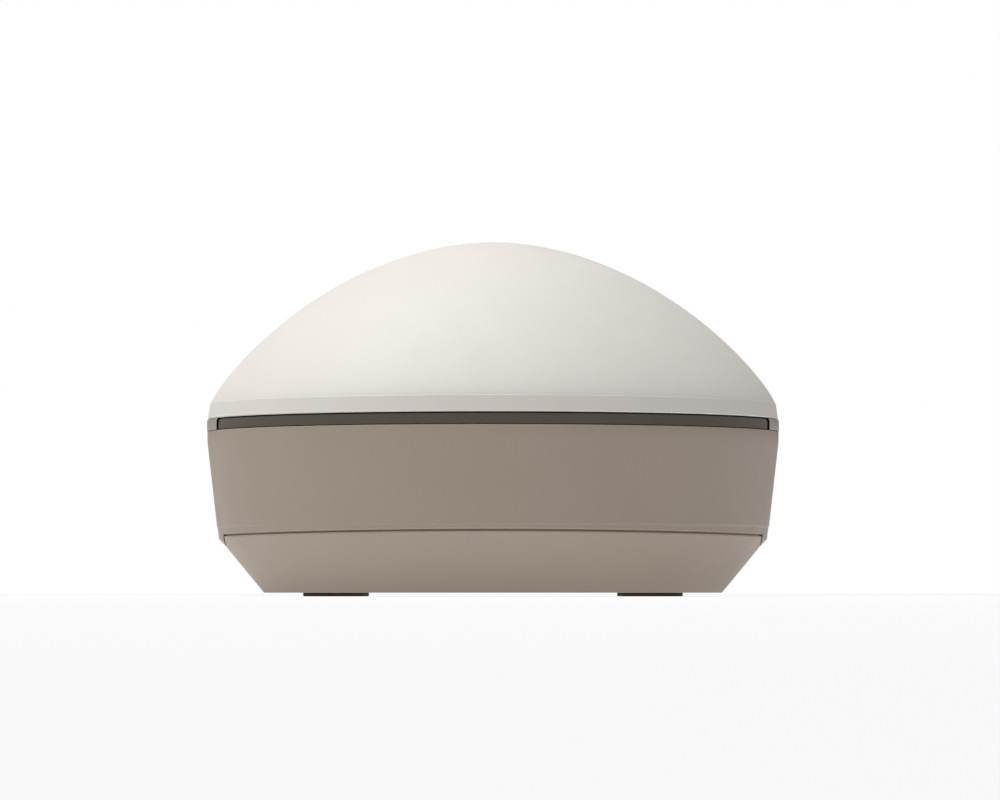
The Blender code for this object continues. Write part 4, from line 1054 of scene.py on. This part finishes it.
class GNSS_OT_underside(PieceOperator, bpy.types.Operator):
    """Add the feet, the case screws, the vent and the threaded pole insert"""

    bl_idname = "gnss.underside"
    bl_label = "Feet, screws and pole insert"

    def execute(self, context):
        under = settings("under")
        for name in FEET:
            self.add_foot(name, under.foot_edge)
        for i in range(1, 5):
            self.add_screw(f"case_screw_{i}", under)
        self.add_insert(under)
        self.add_vent(under)
        return {"FINISHED"}

    def add_foot(self, name, edge):
        """A round pad with a ring-shaped groove in its sole."""
        low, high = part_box(name)
        radius = (high.x - low.x) / 2
        outer, inner, slope = 0.72 * radius, 0.32 * radius, 0.02 * radius
        pad = turned([
            (0.0, high.z), (radius, high.z, edge / 2), (radius, low.z, edge), (outer, low.z, edge / 2),
            (outer - slope, low.z + edge, edge / 3), (inner + slope, low.z + edge, edge / 3),
            (inner, low.z, edge / 2), (0.0, low.z),
        ], SMALL_STEPS)
        add_piece(f"{name}_pad", centred(pad, name), rubber_finish(), [name])

    def add_screw(self, name, under):
        """A case screw with a six-sided socket in its head."""
        top, end = screw_seat(name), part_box(name)[1].z
        height, head, shank = under.screw_height, under.screw_head, under.screw_shank
        low = top - height
        screw = turned([
            (0.0, end), (shank, end, FULL), (shank, top), (head, top, FINE), (head, low, 2 * SOFT),
            (0.0, low),
        ], 48)
        key = round_bar(0.95 * shank, low - height / 2, low + 0.6 * height, steps=6)
        add_piece(f"{name}_fine", centred(cut(screw, key), name), steel_finish(), [name])

    def add_insert(self, under):
        """The brass insert, chamfered at its mouth, and the thread inside it."""
        root, mouth, pitch = under.thread_major, 2 * SOFT, under.thread_pitch
        flange, bore_top = BASE + under.flange_wall, BASE + under.thread_depth
        body = turned([
            (0.0, INSERT_TOP), (under.insert_radius, INSERT_TOP, FULL), (under.insert_radius, flange),
            (under.insert_flange, flange, FINE), (under.insert_flange, BASE, SOFT),
            (root + mouth, BASE, HAIR), (root, BASE + mouth), (root, bore_top), (0.0, bore_top),
        ], 96)
        add_piece("pole_insert_body", body, brass_finish(), ["pole_insert"])
        turns = (under.thread_depth - pitch) / pitch
        ridge = thread(root, root - under.thread_minor, pitch, turns, BASE + pitch / 2)
        add_piece("pole_insert_thread", ridge, brass_finish())

    def add_vent(self, under):
        """A plug with a dished face and six breathing holes."""
        low, high = (corner.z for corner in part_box("vent_plug"))
        radius, face = under.vent, low + under.vent_dish
        plug = turned([
            (0.0, high), (radius, high), (radius, low, SOFT), (0.70 * radius, low, SOFT),
            (0.62 * radius, face), (0.0, face),
        ], SMALL_STEPS)
        for at in spots(6, 0.36 * radius):
            plug = cut(plug, round_bar(under.vent_hole, low, face + 2 * SOFT, at, steps=16))
        add_piece("vent_cap", centred(plug, "vent_plug"), black_finish(), ["vent_plug"])


class GNSS_OT_door(PieceOperator, bpy.types.Operator):
    """Bend the battery door and add its finger ridges, its hinge knuckle and the pin"""

    bl_idname = "gnss.door"
    bl_label = "Battery door"

    def execute(self, context):
        door = settings("door")
        half = door.half_angle * wall_radius(DOOR_MIDDLE)
        panel = bent(slab(
            (-half, DOOR_LOW, -door.wall), (half, DOOR_HIGH, 0.0), door.corner, door.edge,
            lambda place: place.x > 0,
        ))
        panel = joined(panel, self.press(door), *self.ridges(door), knuckle(1, 1.0))
        add_piece(
            "door_panel", panel, case_finish(), ["battery_door"], "battery_door"
        )
        pin = round_bar(door.pin, knuckle_spans()[0][0], knuckle_spans()[2][1], edge=HAIR, steps=24)
        add_piece("hinge_pin", moved(pin, hinge_place() @ ALONG_Y), steel_finish(), ["door_pin"])
        return {"FINISHED"}

    def press(self, door):
        """The block inside the door that presses on the battery."""
        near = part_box("battery_pack")[1].y + 2 * GAP
        far = wall_radius(DOOR_MIDDLE) - 0.75 * door.wall
        x, z = door.rib_width / 2, door.rib_height / 2
        return stood(slab((-x, DOOR_MIDDLE - z, near), (x, DOOR_MIDDLE + z, far)))

    def ridges(self, door):
        """Three finger ridges beside the door's free edge."""
        half = door.ridge / 2
        for i in range(3):
            ridge = block(half, door.grip / 2, -door.wall / 2, door.ridge, 0.875 * half, SOFT)
            run = (door.ridge_margin + i * door.ridge_pitch) / wall_radius(DOOR_MIDDLE)
            yield moved(ridge, wall_place(run - door.half_angle, DOOR_MIDDLE))


class GNSS_OT_battery(PieceOperator, bpy.types.Operator):
    """Shape the battery and finish its bay and contacts"""

    bl_idname = "gnss.battery"
    bl_label = "Battery"

    def execute(self, context):
        low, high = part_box("battery_pack")
        corner, edge = 0.0024, 0.0008
        pack = slab((low.x, low.z, low.y), (high.x, high.z, high.y), corner, edge, back=True)
        add_piece("battery_block", stood(pack), wrap_finish(), ["battery_pack"])
        dress(black_finish(), "battery_bay", "battery_contacts")
        return {"FINISHED"}


class GNSS_OT_controls(PieceOperator, bpy.types.Operator):
    """Shape the two buttons, the flaps and the sockets"""

    bl_idname = "gnss.controls"
    bl_label = "Buttons, flaps and sockets"

    def execute(self, context):
        control = settings("control")
        self.add_button("power_button", -1, control)
        self.add_button("function_button", 1, control)
        self.add_flap("usb", control)
        self.add_flap("data", control)
        front = -control.flap_wall - 2 * GAP
        self.add_usb(control_place("usb"), control, front)
        self.add_data(control_place("data"), control, front)
        self.add_coax(control_place("antenna"), control)
        return {"FINISHED"}

    def add_button(self, name, side, control):
        """A dished cap with a flange behind the wall; the power button carries a bar, the other a dot."""
        radius, flange, stem = control.button_radius, control.button_flange, control.button_stem
        top, wall, end = control.button_proud, -settings("shell").wall, -control.pad_depth
        back, dish, dish_bend = wall - 2 * SOFT, 0.00034, 0.002
        cap = turned([
            (0.0, top - FULL), (0.45 * radius, top - dish, dish_bend), (0.82 * radius, top, FULL),
            (radius, top - HAIR, FULL), (radius, wall), (flange, wall, HAIR), (flange, back, HAIR),
            (stem, back), (stem, end, FINE), (0.0, end),
        ], SMALL_STEPS)
        mark_low, mark_high = top - 0.0010, top - 0.00015
        if name == "power_button":
            mark = block(0.00022, 0.0013, mark_low, mark_high, FINE, HAIR)
        else:
            mark = round_bar(0.0007, mark_low, mark_high, edge=HAIR, steps=32)
        cap = moved(joined(cap, mark), button_place(side))
        add_piece(f"{name}_cap", cap, trim_finish(), [name], name)

    def add_flap(self, kind, control):
        """A soft flap with a roll along its foot, a lip to lift it by and a groove round its face."""
        (x, y), name = flap_halves(kind), f"{kind}_flap"
        barrel, face = control.flap_barrel, control.flap_proud
        foot, tab, corner, edge = -y - barrel + GAP, 0.0012, 0.0009, 0.00035
        flap = slab(
            (-x, foot, face - control.flap_wall), (x, y, face), corner, edge, lambda place: place.y > 0
        )
        roll = moved(
            round_bar(barrel, -x, x, edge=FINE, steps=32),
            Matrix.Translation((0, foot, face - barrel)) @ Matrix.Rotation(math.pi / 2, 4, "Y"),
        )
        lip = slab((-tab, y - tab, -GAP), (tab, y - HAIR, 2 * face + GAP), SOFT, FINE)
        outer, outer_corner, inner, inner_corner, over = 0.0011, 0.0008, 0.0015, 0.0005, 0.0010
        groove = cut(
            block(x - outer, y - outer, face - GAP / 2, face + over, outer_corner),
            block(x - inner, y - inner, face - over, face + 2 * over, inner_corner),
        )
        flap = moved(cut(joined(flap, roll, lip), groove), control_place(kind))
        add_piece(f"{name}_cover", flap, rubber_finish(), [name], name)

    def add_usb(self, place, control, front):
        """The small socket: a steel shell with a tongue inside it."""
        wide, tall, rim = control.usb_width / 2, control.usb_height / 2, 2 * GAP
        back, floor = front - control.socket_depth, 0.0012
        shell = block(wide + rim, tall + rim, back, front, tall + rim / 2, HAIR)
        mouth = block(wide - rim, tall - rim, back + floor, 0.0, tall - 1.2 * rim)
        add_piece("usb_shell", moved(cut(shell, mouth), place), steel_finish(), ["usb_socket"])
        tongue_side, tongue_half = 0.0018, 0.00035
        tongue = block(wide - tongue_side, tongue_half, back + floor - FINE, front - floor, 0.0, HAIR)
        add_piece("usb_tongue", moved(tongue, place), black_finish())

    def add_data(self, place, control, front):
        """The round socket: a ring with a key way and seven pins."""
        radius, back, step = control.data_radius, front - control.socket_depth, 0.0012
        face = front - 2 * step
        ring = turned([
            (0.0, face), (radius - step, face), (radius - step, front, FINE), (radius, front, SOFT),
            (radius, back, FINE), (0.0, back),
        ], SMALL_STEPS)
        key_way = round_bar(0.0007, face + GAP, front + GAP, (0.0, radius - step), steps=24)
        ring = cut(ring, key_way)
        add_piece("data_ring", moved(ring, place), aluminium_finish(), ["data_socket"])
        places = [(0.0, 0.0), *spots(6, control.data_circle, 0.5)]
        pins = [round_bar(control.data_pin, face - GAP, front - step, at, FINE, 16) for at in places]
        add_piece("data_pins", moved(merged(*pins), place), brass_finish())

    def add_coax(self, place, control):
        """A threaded socket with a bore, a white insulator and a centre pin."""
        radius, bore, end = control.coax_radius, control.coax_bore, control.coax_length
        root, back = radius - control.coax_thread, -control.socket_depth
        floor, shoulder = 0.0012, 0.0014
        body = turned([
            (0.0, floor), (bore, floor), (bore, end, FINE), (root, end, SOFT), (root, shoulder + FINE),
            (radius, shoulder), (radius, back, SOFT), (0.0, back),
        ], SMALL_STEPS)
        brass = brass_finish()
        add_piece("antenna_socket_body", moved(body, place), brass, ["radio_antenna_socket"])
        start, pitch, turns = shoulder + 0.0005, control.coax_pitch, control.coax_turns
        ridge = thread(root, control.coax_thread, pitch, turns, start, inward=False)
        add_piece("antenna_socket_thread", moved(ridge, place), brass)
        edge, low, high = bore - GAP / 2, floor - GAP, 2 * floor
        core = turned([(0.0, low), (edge, low), (edge, high, FINE), (0.0, high)], 48)
        add_piece("antenna_socket_insulator", moved(core, place), insulator_finish())
        pin = round_bar(control.coax_pin, floor, end / 2, edge=SOFT, steps=32)
        add_piece("antenna_socket_pin", moved(pin, place), brass)


class GNSS_OT_inside(PieceOperator, bpy.types.Operator):
    """Give the pieces inside the case their finishes"""

    bl_idname = "gnss.inside"
    bl_label = "Inner pieces"

    def execute(self, context):
        four = range(1, 5)
        dress(board_finish(), "main_board", "button_board")
        dress(aluminium_finish(), "antenna_ground_plane", "receiver_shield", "radio_shield")
        dress(steel_finish(), "sim_holder", *[f"board_screw_{i}" for i in four])
        dress(steel_finish(), *[f"radome_screw_{i}" for i in four])
        dress(brass_finish(), "antenna_bolt", *[f"antenna_post_{i}" for i in four])
        dress(laminate_finish(), "antenna_patch_lower", "antenna_patch_upper")
        dress(black_finish(), "antenna_spacer_lower", "antenna_spacer_upper")
        return {"FINISHED"}


class GNSS_OT_stage(PieceOperator, bpy.types.Operator):
    """Set up the glowing floor, the plain backdrop, the lamp and the camera"""

    bl_idname = "gnss.stage"
    bl_label = "Studio"

    def execute(self, context):
        studio, scene = settings("studio"), context.scene
        scene.view_settings.view_transform = "Standard"
        self.add_floor(studio)
        scene.world = self.make_world(studio)
        self.add_lamp(studio)
        scene.camera = self.add_camera(studio)
        return {"FINISHED"}

    def add_floor(self, studio):
        """A flat floor that glows evenly."""
        shape = bmesh.new()
        bmesh.ops.create_grid(shape, x_segments=4, y_segments=4, size=studio.floor_half)
        floor = loose("studio_floor", shape)
        look = finish(
            "studio_floor", settings("colours").floor, roughness=0.90, grain=0.002, depth=0.02,
            spread=0.004, patch=0.4,
        )
        glow = look.node_tree.nodes["Principled BSDF"].inputs
        glow["Emission Color"].default_value = WHITE
        glow["Emission Strength"].default_value = studio.glow
        floor.data.materials.append(look)

    def make_world(self, studio):
        """Even light all round, with a backdrop of its own brightness."""
        world = bpy.data.worlds.new("studio_world")
        world.use_nodes = True
        nodes, links = world.node_tree.nodes, world.node_tree.links
        light, behind = nodes["Background"], nodes.new("ShaderNodeBackground")
        path, mix = nodes.new("ShaderNodeLightPath"), nodes.new("ShaderNodeMixShader")
        links.new(path.outputs["Is Camera Ray"], mix.inputs[0])
        for i, (shader, strength) in enumerate(((light, studio.world), (behind, studio.backdrop))):
            shader.inputs["Color"].default_value = WHITE
            shader.inputs["Strength"].default_value = strength
            links.new(shader.outputs["Background"], mix.inputs[i + 1])
        links.new(mix.outputs["Shader"], nodes["World Output"].inputs["Surface"])
        return world

    def add_lamp(self, studio):
        """A square soft lamp that faces the receiver."""
        lamp = bpy.data.lights.new("key_lamp", "AREA")
        lamp.shape = "SQUARE"
        lamp.size = studio.key_size
        lamp.energy = studio.key
        made = bpy.data.objects.new("key_lamp", lamp)
        made.location = studio.key_place
        aim = Vector((0.0, 0.0, studio.key_aim)) - made.location
        made.rotation_euler = aim.to_track_quat("-Z", "Y").to_euler()
        bpy.context.scene.collection.objects.link(made)

    def add_camera(self, studio):
        """A long lens near the floor, looking slightly up."""
        lens = bpy.data.cameras.new("studio_camera")
        lens.sensor_width = 36.0
        lens.lens = studio.lens
        lens.clip_start, lens.clip_end = 0.01, 50.0
        camera = bpy.data.objects.new("studio_camera", lens)
        camera.location = (0.0, -studio.distance, studio.camera_height)
        camera.rotation_euler = (math.pi / 2 + studio.tilt, 0.0, -studio.pan)
        bpy.context.scene.collection.objects.link(camera)
        return camera


OPERATORS = (
    GNSS_OT_radome, GNSS_OT_trim, GNSS_OT_housing, GNSS_OT_lower_case, GNSS_OT_underside, GNSS_OT_door,
    GNSS_OT_battery, GNSS_OT_controls, GNSS_OT_inside, GNSS_OT_stage,
)


class GNSS_PT_receiver(bpy.types.Panel):
    """Lists the steps that build the receiver's surfaces, and their settings"""

    bl_idname = "GNSS_PT_receiver"
    bl_label = "GNSS receiver"
    bl_space_type = "VIEW_3D"
    bl_region_type = "UI"
    bl_category = "Receiver"

    def draw(self, context):
        for operator in OPERATORS:
            self.layout.operator(operator.bl_idname, text=operator.bl_label)
        for name in GROUPS:
            group = getattr(context.scene, name)
            column = self.layout.column(heading=type(group).__name__)
            for field in type(group).__annotations__:
                column.prop(group, field)


CLASSES = (*GROUPS.values(), *OPERATORS, GNSS_PT_receiver)


def register():
    for cls in CLASSES:
        bpy.utils.register_class(cls)
    for name, cls in GROUPS.items():
        setattr(bpy.types.Scene, name, PointerProperty(type=cls))


def unregister():
    for name in GROUPS:
        delattr(bpy.types.Scene, name)
    for cls in reversed(CLASSES):
        bpy.utils.unregister_class(cls)


def main():
    register()
    bpy.ops.gnss.radome()
    bpy.ops.gnss.trim()
    bpy.ops.gnss.housing()
    bpy.ops.gnss.lower_case()
    bpy.ops.gnss.underside()
    bpy.ops.gnss.door()
    bpy.ops.gnss.battery()
    bpy.ops.gnss.controls()
    bpy.ops.gnss.inside()
    bpy.ops.gnss.stage()


if __name__ == "__main__":
    main()
